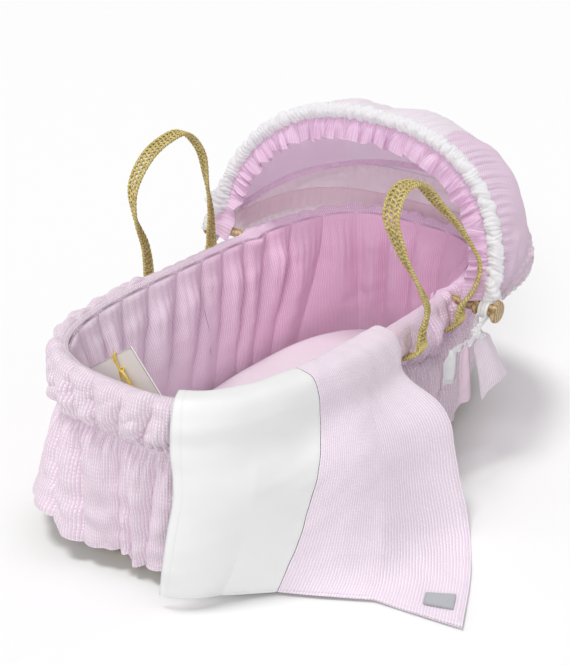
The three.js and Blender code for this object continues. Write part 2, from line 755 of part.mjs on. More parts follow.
function handle(label, side, feet, arch) {
  const start = HANDLE_Z + HANDLE_HINGE_GAP;
  const ends = feet.map((x) => [start, start + 14].map((z) => point(x, side * HANDLE_Y, z)));
  const over = arch.map(([x, out, up]) => point(x, side * (HANDLE_Y + out), HANDLE_Z + up));
  const points = [...ends[0], ...over, ...ends[1].reverse()];
  const stations = twistedStations(points, STRAP_STEPS, 1.2);
  add("handle_" + label + "_strap", strap(stations, STRAP_THICKNESS), COLOURS.straw);
  feet.forEach((x, i) => {
    const end = i === 0 ? "_foot" : "_head";
    const beside = WALL_HALF + 1 + TAB_THICKNESS / 2;
    const wallY = (rise) => Math.abs(besideWallAt(x, side, beside, FLOOR, rise).y);
    const down = HANDLE_Z - HANDLE_HINGE_GAP;
    const route = [
      [HANDLE_Y, down],
      [HANDLE_Y - 3, down - 7],
      [HANDLE_Y - 13, down - 16],
      [HANDLE_Y - 28, down - 24],
      [wallY(down - 36) + 1, down - 36],
      [wallY(down - 46), down - 46],
    ];
    const across = point(1, 0, 0);
    const places = route.map(([y, z]) => point(x, side * y, z));
    const tab = places.map((at, j) => {
      const before = places[Math.max(j - 1, 0)];
      const tangent = places[Math.min(j + 1, places.length - 1)].clone().sub(before).normalize();
      return { at, tangent, across, width: TAB_WIDTH };
    });
    add("handle_" + label + end + "_tab", strap(tab, TAB_THICKNESS), COLOURS.straw);
    const lashing = new THREE.CylinderGeometry(LASHING_RADIUS, LASHING_RADIUS, TAB_WIDTH - 2, 10);
    lashing.rotateZ(Math.PI / 2);
    const mesh = add("handle_" + label + end + "_lashing", lashing, COLOURS.raffia);
    mesh.position.set(x, side * HANDLE_Y, HANDLE_Z);
  });
}

// The way of each strap over its arch: along the basket, out from the bend and up from the bend.
const NEAR_ARCH = [
  [11, 5, 62],
  [-5, 0, 100],
  [-41, -15, 173],
  [-44, -31, 224],
  [-13, -39, 248],
  [28, -40, 249],
  [92, -31, 195],
  [136, -6, 134],
  [150, 15, 85],
  [139, 12, 46],
];
const FAR_ARCH = [
  [-62, 1, 53],
  [-82, 4, 122],
  [-80, 7, 159],
  [-39, 11, 205],
  [8, 12, 222],
  [52, 12, 223],
  [92, 9, 182],
  [102, 5, 122],
  [108, 2, 52],
];

// ---- Coverlet ----

// Guide columns from the foot-end edge to the head-end edge: where each crosses the rim, as a share of
// the rim's half length, and its way down to the floor: along and across from the crossing, and the
// height as a share of the rim's height.
const COVERLET_GUIDES = [
  {
    share: 0,
    crossing: -0.962,
    fall: [
      [-38, -23, 0.65],
      [-48, -18, 0.45],
      [-53, -13, 0.29],
      [-55, -8, 0.17],
      [-57, -4, 0.075],
    ],
  },
  {
    share: 0.19,
    crossing: -0.784,
    fall: [
      [-44, -47, 0.65],
      [-51, -37, 0.46],
      [-58, -25, 0.29],
      [-63, -13, 0.15],
      [-68, 0, 0.031],
    ],
  },
  {
    share: WHITE_BAND_SHARE,
    crossing: -0.545,
    fall: [
      [-43, -58, 0.65],
      [-63, -54, 0.45],
      [-79, -48, 0.27],
      [-94, -40, 0.14],
      [-108, -32, 0.017],
    ],
  },
  {
    share: 0.7,
    crossing: -0.306,
    fall: [
      [-36, -81, 0.62],
      [-59, -103, 0.38],
      [-81, -121, 0.17],
      [-106, -134, 0.041],
      [-136, -145, 0.012],
    ],
  },
  {
    share: 1,
    crossing: -0.069,
    fall: [
      [20, -100, 0.62],
      [16, -130, 0.31],
      [-8, -171, 0.031],
      [-92, -222, 0.012],
      [-210, -275, 0.012],
    ],
  },
];

// The underside of the coverlet at a share of its width and a share of its length.
function coverletPoint(share, along) {
  const shares = COVERLET_GUIDES.map((guide) => guide.share);
  const next = Math.max(shares.findIndex((value) => value >= share), 1);
  const [one, other] = [COVERLET_GUIDES[next - 1], COVERLET_GUIDES[next]];
  const local = (share - one.share) / (other.share - one.share);
  const rimX = mix(one.crossing, other.crossing, local) * RIM_HALF_LENGTH;
  const crossing = besideWallAt(rimX, -1, 0, RIM, 0);
  const fall = one.fall.map((p, i) => point(...p).lerp(point(...other.fall[i]), local));
  const away = COVERLET_CLEARANCE + COVERLET_THICKNESS;
  const beside = (outset, anchor, rise) => besideWallAt(rimX, -1, outset, anchor, rise);
  const points = [
    beside(-10 - away, FLOOR, COVERLET_INNER_HEM),
    beside(-13 - away, RIM, -90),
    beside(-19 - away, RIM, -13),
    beside(-15, RIM, COVERLET_CLEARANCE),
    beside(0, RIM, COVERLET_CLEARANCE + 1),
    beside(14, RIM, COVERLET_CLEARANCE - 2),
    beside(CUFF_PUFF, RIM, -21),
    beside(CUFF_PUFF + away, RIM, -50),
    ...fall.map(({ x, y, z }) => point(crossing.x + x, crossing.y + y, z * RIM_HEIGHT)),
  ];
  return new THREE.CatmullRomCurve3(points, false, "centripetal").getPoint(along);
}

const coverletGrid = (shares, alongs) =>
  alongs.map((along) => shares.map((share) => coverletPoint(share, along)));
const spread = (from, to, count) => steps(count + 1).map((i) => mix(from, to, i / count));

// A sheet on top of a coverlet grid, from one height above it to another.
function overCoverlet(grid, low, high) {
  const sign = offsetGrid(grid, 1)[grid.length - 2][0].z > grid[grid.length - 2][0].z ? 1 : -1;
  return sheet(offsetGrid(grid, sign * high), low === 0 ? grid : offsetGrid(grid, sign * low));
}

function coverlet() {
  const seam = 0.001;
  const rows = spread(0, 1, COVERLET_ROWS);
  const white = coverletGrid(spread(0, WHITE_BAND_SHARE - seam, 9), rows);
  const pink = coverletGrid(spread(WHITE_BAND_SHARE + seam, 1, 8), rows);
  add("coverlet_white_band", overCoverlet(white, 0, COVERLET_THICKNESS), COLOURS.white);
  add("coverlet_pink_panel", overCoverlet(pink, 0, COVERLET_THICKNESS), COLOURS.pink);
  const label = coverletGrid(spread(...LABEL_SHARES, 3), spread(...LABEL_ALONGS, 2));
  const low = COVERLET_THICKNESS + GAP;
  add("coverlet_blank_label", overCoverlet(label, low, low + LABEL_THICKNESS), COLOURS.grey);
}

// ---- Keepsake card ----

function keepsakeCard() {
  const lean = new THREE.Group();
  const stand = -MATTRESS_HALF_LENGTH + CARD_FROM_FOOT;
  lean.position.set(stand, CARD_ASIDE, MATTRESS_TOP + CARD_CLEARANCE);
  lean.rotation.y = radians(-CARD_LEAN);
  const card = new THREE.BoxGeometry(CARD_THICKNESS, CARD_WIDTH, CARD_HEIGHT);
  card.translate(0, -CARD_WIDTH / 2, CARD_HEIGHT / 2);
  const inner = [CARD_THICKNESS / 2 + GAP, CARD_HEIGHT + GAP];
  const ringAt = (outset, y) => [
    point(-inner[0] - outset, y, -GAP - outset),
    point(inner[0] + outset, y, -GAP - outset),
    point(inner[0] + outset, y, inner[1] + outset),
    point(-inner[0] - outset, y, inner[1] + outset),
  ];
  const across = -CARD_WIDTH * 0.62;
  const tie = loft(
    [
      ringAt(TIE_RADIUS, across - 3),
      ringAt(TIE_RADIUS, across + 3),
      ringAt(0, across + 3),
      ringAt(0, across - 3),
    ],
    true,
  );
  const pieces = [
    ["keepsake_card", card, COLOURS.white],
    ["keepsake_card_raffia_tie", tie, COLOURS.raffia],
  ];
  pieces.forEach(([name, geometry, colour]) => {
    const mesh = add(name, geometry, colour);
    mesh.rotation.x = radians(-CARD_TILT);
    lean.add(mesh);
  });
  part.add(lean);
}

// ---- Bows ----

// Each tail hangs from under the peg: its two edges along the basket, measured from the peg's axis, its
// distance out from the peg's flange and its height below the axis, at the top and at the hem.
const BOW_TAILS = [
  { end: "_tail_pink", top: [-38, 10], hem: [-46, 40], out: [17, 45], down: [45.5, 127], tint: "pink" },
  { end: "_tail_mauve", top: [-66, -41], hem: [-92, -50], out: [11, 29], down: [41, 139], tint: "deepPink" },
  { end: "_tail_white", top: [-96, -70], hem: [-114, -78], out: [7, 13], down: [45, 99], tint: "white" },
];
const KNOT = { along: -28, out: 18, down: 30.5, size: [11, 8, 12] };

function bow(label, side) {
  const place = (along, out, down) =>
    point(PIVOT_X + along, side * (PEG_FLANGE_Y + out), PIVOT_Z - down);
  const knot = new THREE.SphereGeometry(1, 12, 8).scale(...KNOT.size);
  const mesh = add("bow_" + label + "_knot", knot, COLOURS.white);
  mesh.position.copy(place(KNOT.along, KNOT.out, KNOT.down));
  BOW_TAILS.forEach(({ end, top, hem, out, down, tint }) => {
    const face = (offset) =>
      spread(0, 1, 4).map((share) =>
        spread(0, 1, 2).map((across) => {
          const along = mix(mix(top[0], hem[0], share), mix(top[1], hem[1], share), across);
          return place(along, mix(out[0], out[1], share) + offset, mix(down[0], down[1], share));
        }),
      );
    add("bow_" + label + end, sheet(face(BOW_THICKNESS), face(0)), COLOURS[tint]);
  });
}

woven();
liner();
bedding();
[
  ["near", -1],
  ["far", 1],
].forEach(([label, side]) => {
  peg(label, side);
  bow(label, side);
});
hood();
handle("near", -1, NEAR_HANDLE_FEET, NEAR_ARCH);
handle("far", 1, FAR_HANDLE_FEET, FAR_ARCH);
coverlet();
keepsakeCard();

export default part;
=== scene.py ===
import json
import math

import bpy
import numpy as np
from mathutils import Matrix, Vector

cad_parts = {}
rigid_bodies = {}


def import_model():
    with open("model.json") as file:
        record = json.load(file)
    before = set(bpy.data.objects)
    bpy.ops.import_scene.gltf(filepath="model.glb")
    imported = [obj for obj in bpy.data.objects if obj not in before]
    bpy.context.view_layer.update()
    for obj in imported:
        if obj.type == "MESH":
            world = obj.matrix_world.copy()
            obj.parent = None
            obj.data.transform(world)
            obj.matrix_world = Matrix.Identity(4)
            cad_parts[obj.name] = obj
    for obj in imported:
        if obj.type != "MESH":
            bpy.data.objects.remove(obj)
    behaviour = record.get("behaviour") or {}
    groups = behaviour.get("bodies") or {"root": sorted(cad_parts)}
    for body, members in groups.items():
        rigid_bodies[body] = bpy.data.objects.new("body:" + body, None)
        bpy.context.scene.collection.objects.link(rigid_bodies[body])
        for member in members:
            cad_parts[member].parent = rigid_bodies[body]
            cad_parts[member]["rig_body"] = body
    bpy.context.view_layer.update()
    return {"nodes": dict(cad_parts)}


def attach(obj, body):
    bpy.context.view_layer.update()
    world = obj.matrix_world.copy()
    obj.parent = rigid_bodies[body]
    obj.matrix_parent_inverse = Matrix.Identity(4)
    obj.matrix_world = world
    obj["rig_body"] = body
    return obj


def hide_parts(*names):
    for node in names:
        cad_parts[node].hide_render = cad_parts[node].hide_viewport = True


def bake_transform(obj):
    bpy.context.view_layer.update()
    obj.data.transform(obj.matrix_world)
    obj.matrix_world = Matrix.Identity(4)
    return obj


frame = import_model()
NODES = frame["nodes"]

# Sizes of the object, in metres. L and W are half the length and width of an oval and N is how square it is.
RIM_L, RIM_W, RIM_N = 0.4055, 0.202, 3.2
BASE_L, BASE_W, BASE_N = 0.386, 0.167, 3.0
RIM_H, RIM_END_RISE, RIM_HEAD_DROP = 0.2915, 0.0038, 0.017
WALL_HALF = 0.003
MAT_L, MAT_W, MAT_N = 0.352, 0.157, 2.6
MAT_FLOOR, MAT_TOP, MAT_BEND = 0.010, 0.070, 0.020
PIVOT_X, PIVOT_Z = 0.158, 0.277453
# The pegs' parts, by distance from the middle of the basket.
PEG_FOOT, PEG_FLANGE, PEG_WAIST, PEG_DISC, PEG_END = 0.20745, 0.25495, 0.26195, 0.28895, 0.29795
# Each hoop: lean towards the head in degrees, height, half width, how square it is.
FRONT = (17.6, 0.255, 0.27895, 2.33)
MID = (68.0, 0.266, 0.27345, 2.1)
BACK = (90.0, 0.283, 0.26795, 3.4)
HANDLE_Y, HANDLE_Z = 0.246, 0.266
NEAR_FEET, FAR_FEET = (0.008, 0.124), (-0.060, 0.104)
CARD_WIDTH, CARD_LENGTH = 0.127, 0.205
FLOOR, RIM = 0.0, 1.0
TAU = 2 * math.pi


# ---- Numbers on arrays ----


def smooth(low, high, x):
    t = np.clip((x - low) / (high - low), 0, 1)
    return t * t * (3 - 2 * t)


def unit(v):
    return v / np.maximum(np.linalg.norm(v, axis=-1, keepdims=True), 1e-12)


def together(*grids):
    """Grids side by side in a last axis, such as u and v, or x, y and z."""
    return np.stack(np.broadcast_arrays(*grids), -1)


def waves(x, period, low, high, seed, terms=8):
    """A smooth random line from about -1 to 1 that repeats each period."""
    rng = np.random.default_rng(seed)
    x = np.asarray(x, float)
    total = np.zeros_like(x)
    for k, phase, size in zip(
        rng.integers(low, high + 1, terms), rng.uniform(0, TAU, terms), rng.uniform(0.5, 1, terms)
    ):
        total += size * np.cos(TAU * k * x / period + phase)
    return total / math.sqrt(terms)


def ripple(u, v, scale, seed, terms=14):
    """A smooth random field over u and v; scale is the usual distance between its bumps."""
    rng = np.random.default_rng(seed)
    total = np.zeros(np.broadcast(u, v).shape)
    for angle, phase, size in zip(
        rng.uniform(0, TAU, terms), rng.uniform(0, TAU, terms), rng.uniform(0.6, 1.5, terms)
    ):
        k = TAU / scale * size
        total += np.cos(k * (u * math.cos(angle) + v * math.sin(angle)) + phase)
    return total / math.sqrt(terms)


def gathers(x, period, count, seed, slip=0.0, uneven=0.9):
    """Round crests at 1 and sharp creases at 0, count of them in each period."""
    phase = math.pi * count * np.asarray(x, float) / period
    phase = phase + uneven * waves(x, period, 2, max(3, count // 5), seed) + slip
    return np.abs(np.sin(phase))


def through(points, t):
    """The smooth line through points (K, ..., 3), at shares t of its mean length."""
    p = np.asarray(points, float)
    step = np.linalg.norm(np.diff(p, axis=0), axis=-1)
    step = step.reshape(len(step), -1).mean(1)
    knots = np.concatenate([[0], np.cumsum(step)])
    knots /= knots[-1]
    shape = (-1,) + (1,) * (p.ndim - 1)
    gap = np.diff(knots).reshape(shape)
    slope = np.diff(p, axis=0) / gap
    m = np.empty_like(p)
    m[1:-1] = (slope[1:] * gap[:-1] + slope[:-1] * gap[1:]) / (gap[:-1] + gap[1:])
    m[0], m[-1] = slope[0], slope[-1]
    t = np.atleast_1d(np.asarray(t, float))
    i = np.clip(np.searchsorted(knots, t, side="right") - 1, 0, len(knots) - 2)
    h = (knots[i + 1] - knots[i]).reshape(shape)
    x = ((t - knots[i]) / (knots[i + 1] - knots[i])).reshape(shape)
    return (
        (2 * x**3 - 3 * x**2 + 1) * p[i]
        + (x**3 - 2 * x**2 + x) * h * m[i]
        + (3 * x**2 - 2 * x**3) * p[i + 1]
        + (x**3 - x**2) * h * m[i + 1]
    )


def lengths(path):
    """Distance along a path (n, 3) at each of its points."""
    return np.concatenate([[0], np.cumsum(np.linalg.norm(np.diff(path, axis=0), axis=-1))])


def evenly(path, count):
    """The same path with count points spaced evenly."""
    far = lengths(path)
    at = np.linspace(0, far[-1], count)
    return np.stack([np.interp(at, far, path[:, k]) for k in range(3)], -1)


def grid_normals(p, closed=False):
    du, dv = np.gradient(p, axis=0), np.gradient(p, axis=1)
    if closed:
        du[0] = du[-1] = p[1] - p[-2]
    return unit(np.cross(du, dv))


# ---- Meshes ----


class Pieces:
    """Gathers grids of points into one mesh."""

    def __init__(self):
        self.v, self.q, self.uv, self.edge, self.m, self.count = [], [], [], [], [], 0

    def points(self, p, uv=None, edge=None):
        n, m = p.shape[:2]
        start = self.count
        self.v.append(p.reshape(-1, 3))
        self.uv.append((np.zeros((n, m, 2)) if uv is None else uv).reshape(-1, 2))
        self.edge.append((np.ones((n, m, 2)) if edge is None else edge).reshape(-1, 2))
        self.count += n * m
        return start + np.arange(n * m).reshape(n, m)

    def quads(self, a, b, c, d, slot=0):
        faces = np.stack([x.reshape(-1) for x in (a, b, c, d)], -1)
        self.q.append(faces)
        if np.ndim(slot):
            self.m.append(np.asarray(slot).reshape(-1))
        else:
            self.m.append(np.full(len(faces), slot))

    def grid(self, p, uv=None, edge=None, slot=0, flip=False, wrap=False):
        i = self.points(p, uv, edge)
        if wrap:
            i = np.concatenate([i, i[:, :1]], 1)
        corners = [i[:-1, :-1], i[1:, :-1], i[1:, 1:], i[:-1, 1:]]
        self.quads(*(corners[::-1] if flip else corners), slot=slot)
        return i

    def shell(self, outer, inner, uv=None, edge=None, slots=(0, 0), which=None):
        """A closed sheet between two grids."""
        top = slots[0] if which is None else which
        o = self.grid(outer, uv, edge, top)
        i = self.grid(inner, uv, edge, slots[1], flip=True)
        for a, b in ((o[0], i[0]), (i[-1], o[-1]), (i[:, 0], o[:, 0]), (o[:, -1], i[:, -1])):
            self.quads(a[:-1], b[:-1], b[1:], a[1:], slots[0])

    def tube(self, path, radius, sides, spin=None, caps=True, squash=1.0, tone=None):
        """radius is a number, or a function of distance along and angle. spin is the direction of angle 0.
        tone is how light the tube is, from 0 to 1; "creases" makes it dark where the radius is small: painted
        shade in the crevices between the wraps."""
        t = unit(np.gradient(path, axis=0))
        if spin is None:
            side = np.empty_like(path)
            first = np.cross(t[0], [0.3, 0.5, 0.81])
            side[0] = first / np.linalg.norm(first)
            for k in range(1, len(path)):
                s = side[k - 1] - t[k] * (side[k - 1] @ t[k])
                side[k] = s / np.linalg.norm(s)
        else:
            side = unit(spin - t * (spin * t).sum(-1, keepdims=True))
        face = np.cross(t, side)
        angle = np.linspace(0, TAU, sides, endpoint=False)
        far = lengths(path)
        if callable(radius):
            r = radius(far[:, None], angle[None, :])
        else:
            r = np.broadcast_to(np.asarray(radius, float).reshape(-1, 1), (len(path), sides))
        p = path[:, None] + r[..., None] * (
            np.cos(angle)[None, :, None] * side[:, None]
            + squash * np.sin(angle)[None, :, None] * face[:, None]
        )
        uv = together(angle[None, :] * 0.003, far[:, None])
        edge = None
        if tone is not None:
            # Painted shade: with "creases" the Edge map holds how lit the tube is, dark where its radius is
            # small.
            shade = (r / r.max() - 0.80) / 0.17 if isinstance(tone, str) else np.full(r.shape, tone)
            edge = np.stack([np.clip(shade, 0, 1), np.zeros(r.shape)], -1)
        i = self.grid(p, uv, edge, wrap=True)
        if caps:
            for k, row in ((0, i[0]), (-1, i[-1])):
                tint = edge if edge is None else edge[:1, :1]
                centre = np.full(sides, self.points(path[k].reshape(1, 1, 3), None, tint)[0, 0])
                ring = (row[:-1], row[1:]) if k == 0 else (row[1:], row[:-1])
                self.quads(centre, ring[0], ring[0], ring[1])

    def make(self, name, materials):
        v = np.concatenate(self.v).astype(np.float32)
        q = np.concatenate(self.q)
        m = np.concatenate(self.m)
        triangle = q[:, 1] == q[:, 2]
        faces = [q[~triangle].reshape(-1), q[triangle][:, [0, 1, 3]].reshape(-1)]
        loops = np.concatenate(faces).astype(np.int32)
        sizes = np.concatenate([np.full((~triangle).sum(), 4), np.full(triangle.sum(), 3)])
        starts = np.concatenate([[0], np.cumsum(sizes)[:-1]]).astype(np.int32)
        mesh = bpy.data.meshes.new(name)
        mesh.vertices.add(len(v))
        mesh.vertices.foreach_set("co", v.ravel())
        mesh.loops.add(len(loops))
        mesh.loops.foreach_set("vertex_index", loops)
        mesh.polygons.add(len(sizes))
        mesh.polygons.foreach_set("loop_start", starts)
        index = np.concatenate([m[~triangle], m[triangle]]).astype(np.int32)
        mesh.polygons.foreach_set("material_index", index)
        mesh.update(calc_edges=True)
        for layer, values in (("UVMap", self.uv), ("Edge", self.edge)):
            data = np.concatenate(values).astype(np.float32)[loops]
            mesh.uv_layers.new(name=layer).data.foreach_set("uv", data.ravel())
        mesh.shade_smooth()
        for material in materials:
            mesh.materials.append(material)
        o = bpy.data.objects.new(name, mesh)
        bpy.context.scene.collection.objects.link(o)
        return o


def settle(o, node, slot):
    """The piece takes the place of a CAD node and moves with that node's body."""
    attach(o, NODES[node]["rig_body"])
    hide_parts(node)
    return o


# ---- Materials ----


def colour(r, g, b):
    def channel(c):
        c /= 255
        return c / 12.92 if c <= 0.04045 else ((c + 0.055) / 1.055) ** 2.4

    return (channel(r), channel(g), channel(b), 1.0)


class Shade:
    """One material and short ways to add nodes to it."""

    def __init__(self, name, roughness=0.8, sheen=0.0, metallic=0.0):
        self.material = bpy.data.materials.new(name)
        self.material.use_nodes = True
        self.tree = self.material.node_tree
        self.bsdf = self.tree.nodes["Principled BSDF"]
        self.bsdf.inputs["Roughness"].default_value = roughness
        self.bsdf.inputs["Metallic"].default_value = metallic
        if sheen:
            self.bsdf.inputs["Sheen Weight"].default_value = sheen
            self.bsdf.inputs["Sheen Roughness"].default_value = 0.5

    def put(self, socket, value):
        if isinstance(value, bpy.types.NodeSocket):
            self.tree.links.new(value, socket)
        else:
            socket.default_value = value

    def node(self, kind, out, values=(), **props):
        n = self.tree.nodes.new(kind)
        for key, value in props.items():
            setattr(n, key, value)
        for key, value in dict(values).items():
            self.put(n.inputs[key], value)
        return n.outputs[out]

    def math(self, operation, a, b=0.0, c=0.0):
        return self.node("ShaderNodeMath", 0, {0: a, 1: b, 2: c}, operation=operation)

    def plus(self, a, b):
        return self.math("ADD", a, b)

    def minus(self, a, b):
        return self.math("SUBTRACT", a, b)

    def times(self, a, b):
        return self.math("MULTIPLY", a, b)

    def sine(self, a):
        return self.math("SINE", a)

    def uv(self, layer="UVMap"):
        n = self.tree.nodes.new("ShaderNodeUVMap")
        n.uv_map = layer
        s = self.tree.nodes.new("ShaderNodeSeparateXYZ")
        self.tree.links.new(n.outputs[0], s.inputs[0])
        return s.outputs[0], s.outputs[1]

    def vector(self, x, y, z=0.0):
        return self.node("ShaderNodeCombineXYZ", 0, {0: x, 1: y, 2: z})

    def place(self):
        return self.node("ShaderNodeTexCoord", "Object")

    def noise(self, vector, scale, detail=2.0, rough=0.5):
        return self.node(
            "ShaderNodeTexNoise",
            "Fac",
            {"Vector": vector, "Scale": scale, "Detail": detail, "Roughness": rough},
        )

    def mix(self, share, a, b):
        n = self.tree.nodes.new("ShaderNodeMix")
        n.data_type = "RGBA"
        self.put(n.inputs[0], share)
        self.put(n.inputs[6], a)
        self.put(n.inputs[7], b)
        return n.outputs[2]

    def ramp(self, value, stops):
        n = self.tree.nodes.new("ShaderNodeValToRGB")
        self.put(n.inputs[0], value)
        elements = n.color_ramp.elements
        while len(elements) < len(stops):
            elements.new(0.5)
        for element, (place, shade) in zip(elements, stops):
            element.position, element.color = place, shade
        return n.outputs[0]

    def step(self, value, low, high):
        return self.node(
            "ShaderNodeMapRange",
            0,
            {0: value, 1: low, 2: high, 3: 0.0, 4: 1.0},
            interpolation_type="SMOOTHSTEP",
        )

    def bump(self, height, distance, strength=1.0):
        n = self.node(
            "ShaderNodeBump", 0, {"Height": height, "Distance": distance, "Strength": strength}
        )
        self.put(self.bsdf.inputs["Normal"], n)

    def base(self, value):
        self.put(self.bsdf.inputs["Base Color"], value)
        return self.material

    def thin(self, value, through):
        """Thin cloth also lets a share of the light through."""
        if through:
            glow = self.node("ShaderNodeBsdfTranslucent", 0, {"Color": value})
            mixed = self.node("ShaderNodeMixShader", 0, {0: through, 1: self.bsdf.outputs[0], 2: glow})
            self.put(self.tree.nodes["Material Output"].inputs[0], mixed)
        return self.base(value)


STITCH_INSET, STITCH_PITCH = 0.006, 0.0032


def stitched(s, height, shade, thread):
    """A line of stitches along the cloth, just in from its edge."""
    far, along = s.uv("Edge")
    off = s.math("ABSOLUTE", s.minus(far, STITCH_INSET))
    line = s.minus(1.0, s.step(off, 0.0003, 0.0009))
    dash = s.step(s.sine(s.times(along, TAU / STITCH_PITCH)), -0.5, 0.1)
    sewn = s.times(line, dash)
    height = s.minus(height, s.times(line, 0.8))
    return height, s.mix(s.times(sewn, 0.6), shade, thread)


PUCKER_LENGTH = 0.0052
THREAD_WAVES = 1500.0


def seersucker(name, pink, white, pitch, pucker, relief, deep=None, through=0.0):
    """Puckered stripes, pitch metres apart. deep is a pair of deeper tints blended in towards the head:
    painted shade, the cloth's colour as it looks in the hood's shade.
    """
    s = Shade(name, roughness=0.85, sheen=0.15)
    if deep:
        place = s.tree.nodes.new("ShaderNodeSeparateXYZ")
        s.tree.links.new(s.place(), place.inputs[0])
        # Painted shade: the pink and the white turn to the deeper pair towards the head end, where the hood
        # shades the cloth.
        head_shade_share = s.step(place.outputs[0], -0.22, 0.24)
        pink, white = s.mix(head_shade_share, pink, deep[0]), s.mix(head_shade_share, white, deep[1])
    u, v = s.uv()
    wander = s.noise(s.vector(u, v), 45.0, 2.0)
    across = s.plus(u, s.times(s.minus(wander, 0.5), pitch * 0.5))
    wave = s.sine(s.times(across, TAU / pitch))
    stripe = s.step(wave, -0.45, 0.45)
    shift = s.times(s.noise(s.vector(s.times(u, 3.0), v), 90.0, 2.0), 9.0)
    crimp = s.sine(s.plus(s.times(v, TAU / PUCKER_LENGTH), shift))
    cells = s.times(stripe, s.math("MULTIPLY_ADD", crimp, 0.5, 0.5))
    thread = s.noise(s.vector(u, s.times(v, 0.25)), 2600.0, 1.0)
    height = s.plus(s.times(cells, pucker), s.times(stripe, 0.35))
    height = s.plus(height, s.times(thread, 0.12))
    # Painted shade: the stripes' puckered cells are whiter on their crests and pinker in their hollows.
    painted_cell_shade = s.mix(s.times(cells, 0.5 * pucker), pink, white)
    shade = s.mix(stripe, pink, s.mix(0.75, painted_cell_shade, white))
    drift = s.noise(s.place(), 7.0, 2.0)
    shade = s.mix(s.times(s.step(drift, 0.3, 0.75), 0.12), shade, pink)
    # Painted shade: the hollows of the puckers are mixed towards the pink.
    painted_dip_shade = s.times(s.minus(1.0, s.step(crimp, -0.9, 0.2)), 0.45 * pucker)
    shade = s.mix(painted_dip_shade, shade, pink)
    height, shade = stitched(s, height, shade, white)
    s.bump(height, relief)
    return s.thin(shade, through)


def plain_cloth(name, tint, shadow, roughness=0.8, sheen=0.2, relief=0.00025, through=0.0):
    s = Shade(name, roughness=roughness, sheen=sheen)
    u, v = s.uv()
    warp = s.sine(s.times(u, TAU * THREAD_WAVES / 2))
    weft = s.sine(s.times(v, TAU * THREAD_WAVES / 2))
    crumple = s.noise(s.place(), 60.0, 4.0, 0.6)
    height = s.plus(s.times(s.times(warp, weft), 0.1), crumple)
    drift = s.step(s.noise(s.place(), 11.0, 3.0), 0.35, 0.8)
    shade = s.mix(s.times(drift, 0.35), tint, shadow)
    height, shade = stitched(s, height, shade, shadow)
    s.bump(height, relief * 4)
    return s.thin(shade, through)


def straw_material(name, dark, middle, light, crease_shade_and_leaf_tone):
    s = Shade(name, roughness=0.62)
    s.bsdf.inputs["Specular IOR Level"].default_value = 0.35
    u, v = s.uv()
    fibres = s.noise(s.vector(s.times(u, 6.0), v), 260.0, 3.0, 0.65)
    patches = s.noise(s.place(), 85.0, 3.0, 0.6)
    tone = s.math("MULTIPLY_ADD", fibres, 0.55, s.times(patches, 0.5))
    shade = s.ramp(tone, [(0.30, dark), (0.50, middle), (0.72, light)])
    # Painted shade: the straw is mixed towards its darkest colour where the Edge map is low, in the crevices
    # of the plait's cords; on the leaf strips the same mix is a tone that differs at random from leaf to
    # leaf.
    crease_light_and_tone, _ = s.uv("Edge")
    shade = s.mix(s.times(s.minus(1.0, crease_light_and_tone), 0.85), shade, crease_shade_and_leaf_tone)
    s.bump(s.plus(fibres, s.times(patches, 0.3)), 0.0007)
    return s.base(shade)


def wood_material(name):
    s = Shade(name, roughness=0.42)
    at = s.place()
    grain = s.node(
        "ShaderNodeTexWave",
        "Fac",
        {"Vector": at, "Scale": 55.0, "Distortion": 7.0, "Detail": 3.0, "Detail Scale": 1.6},
        wave_type="BANDS",
        bands_direction="X",
    )
    pores = s.noise(at, 420.0, 3.0, 0.7)
    shade = s.ramp(
        s.math("MULTIPLY_ADD", pores, 0.25, s.times(grain, 0.7)),
        [(0.15, colour(140, 112, 74)), (0.5, colour(178, 150, 106)), (0.85, colour(208, 184, 142))],
    )
    s.bump(pores, 0.0003)
    return s.base(shade)


def steel_material(name):
    s = Shade(name, roughness=0.36, metallic=1.0)
    streaks = s.noise(s.place(), 350.0, 2.0)
    s.bump(streaks, 0.0002)
    return s.base(s.mix(streaks, colour(176, 180, 184), colour(206, 209, 212)))


WHITE_STRIPE = colour(250, 243, 248)
PALE_PINK = seersucker("pale_pink_seersucker", colour(230, 205, 224), WHITE_STRIPE, 0.0050, 1.0, 0.0010)
COVER_PINK = seersucker(
    "coverlet_seersucker", colour(234, 212, 231), colour(248, 246, 249), 0.0046, 0.7, 0.0008
)
# The deep pair is painted shade: the liner's pinks turn deeper under the hood.
LINER_PINK = seersucker(
    "liner_seersucker",
    colour(240, 216, 236),
    colour(252, 245, 251),
    0.0042,
    0.4,
    0.0006,
    deep=(colour(236, 184, 217), colour(246, 220, 237)),
)
FRILL_PINK = seersucker(
    "frill_seersucker", colour(251, 218, 245), colour(255, 248, 254), 0.0038, 0.4, 0.0006, through=0.45
)
# The deep pair is painted shade: the cuff's pinks turn deeper under the hood.
CUFF_PINK = seersucker(
    "cuff_seersucker",
    colour(226, 203, 220),
    WHITE_STRIPE,
    0.0050,
    1.0,
    0.0010,
    deep=(colour(232, 192, 222), colour(250, 238, 248)),
)
HOOD_PINK = seersucker(
    "hood_seersucker", colour(245, 229, 243), colour(254, 252, 254), 0.0042, 0.5, 0.0006, through=0.5
)
TAIL_PINK = seersucker("tail_seersucker", colour(222, 203, 218), colour(242, 234, 241), 0.0027, 0.3, 0.0005)
TAIL_MAUVE = seersucker(
    "tail_mauve_seersucker", colour(218, 190, 208), colour(236, 216, 228), 0.0027, 0.3, 0.0005
)
WHITE = plain_cloth("white_cotton", colour(254, 254, 255), colour(248, 250, 252), through=0.42)
SATIN = plain_cloth("white_satin", colour(232, 233, 232), colour(227, 228, 227), 0.5, 0.1, 0.00008)
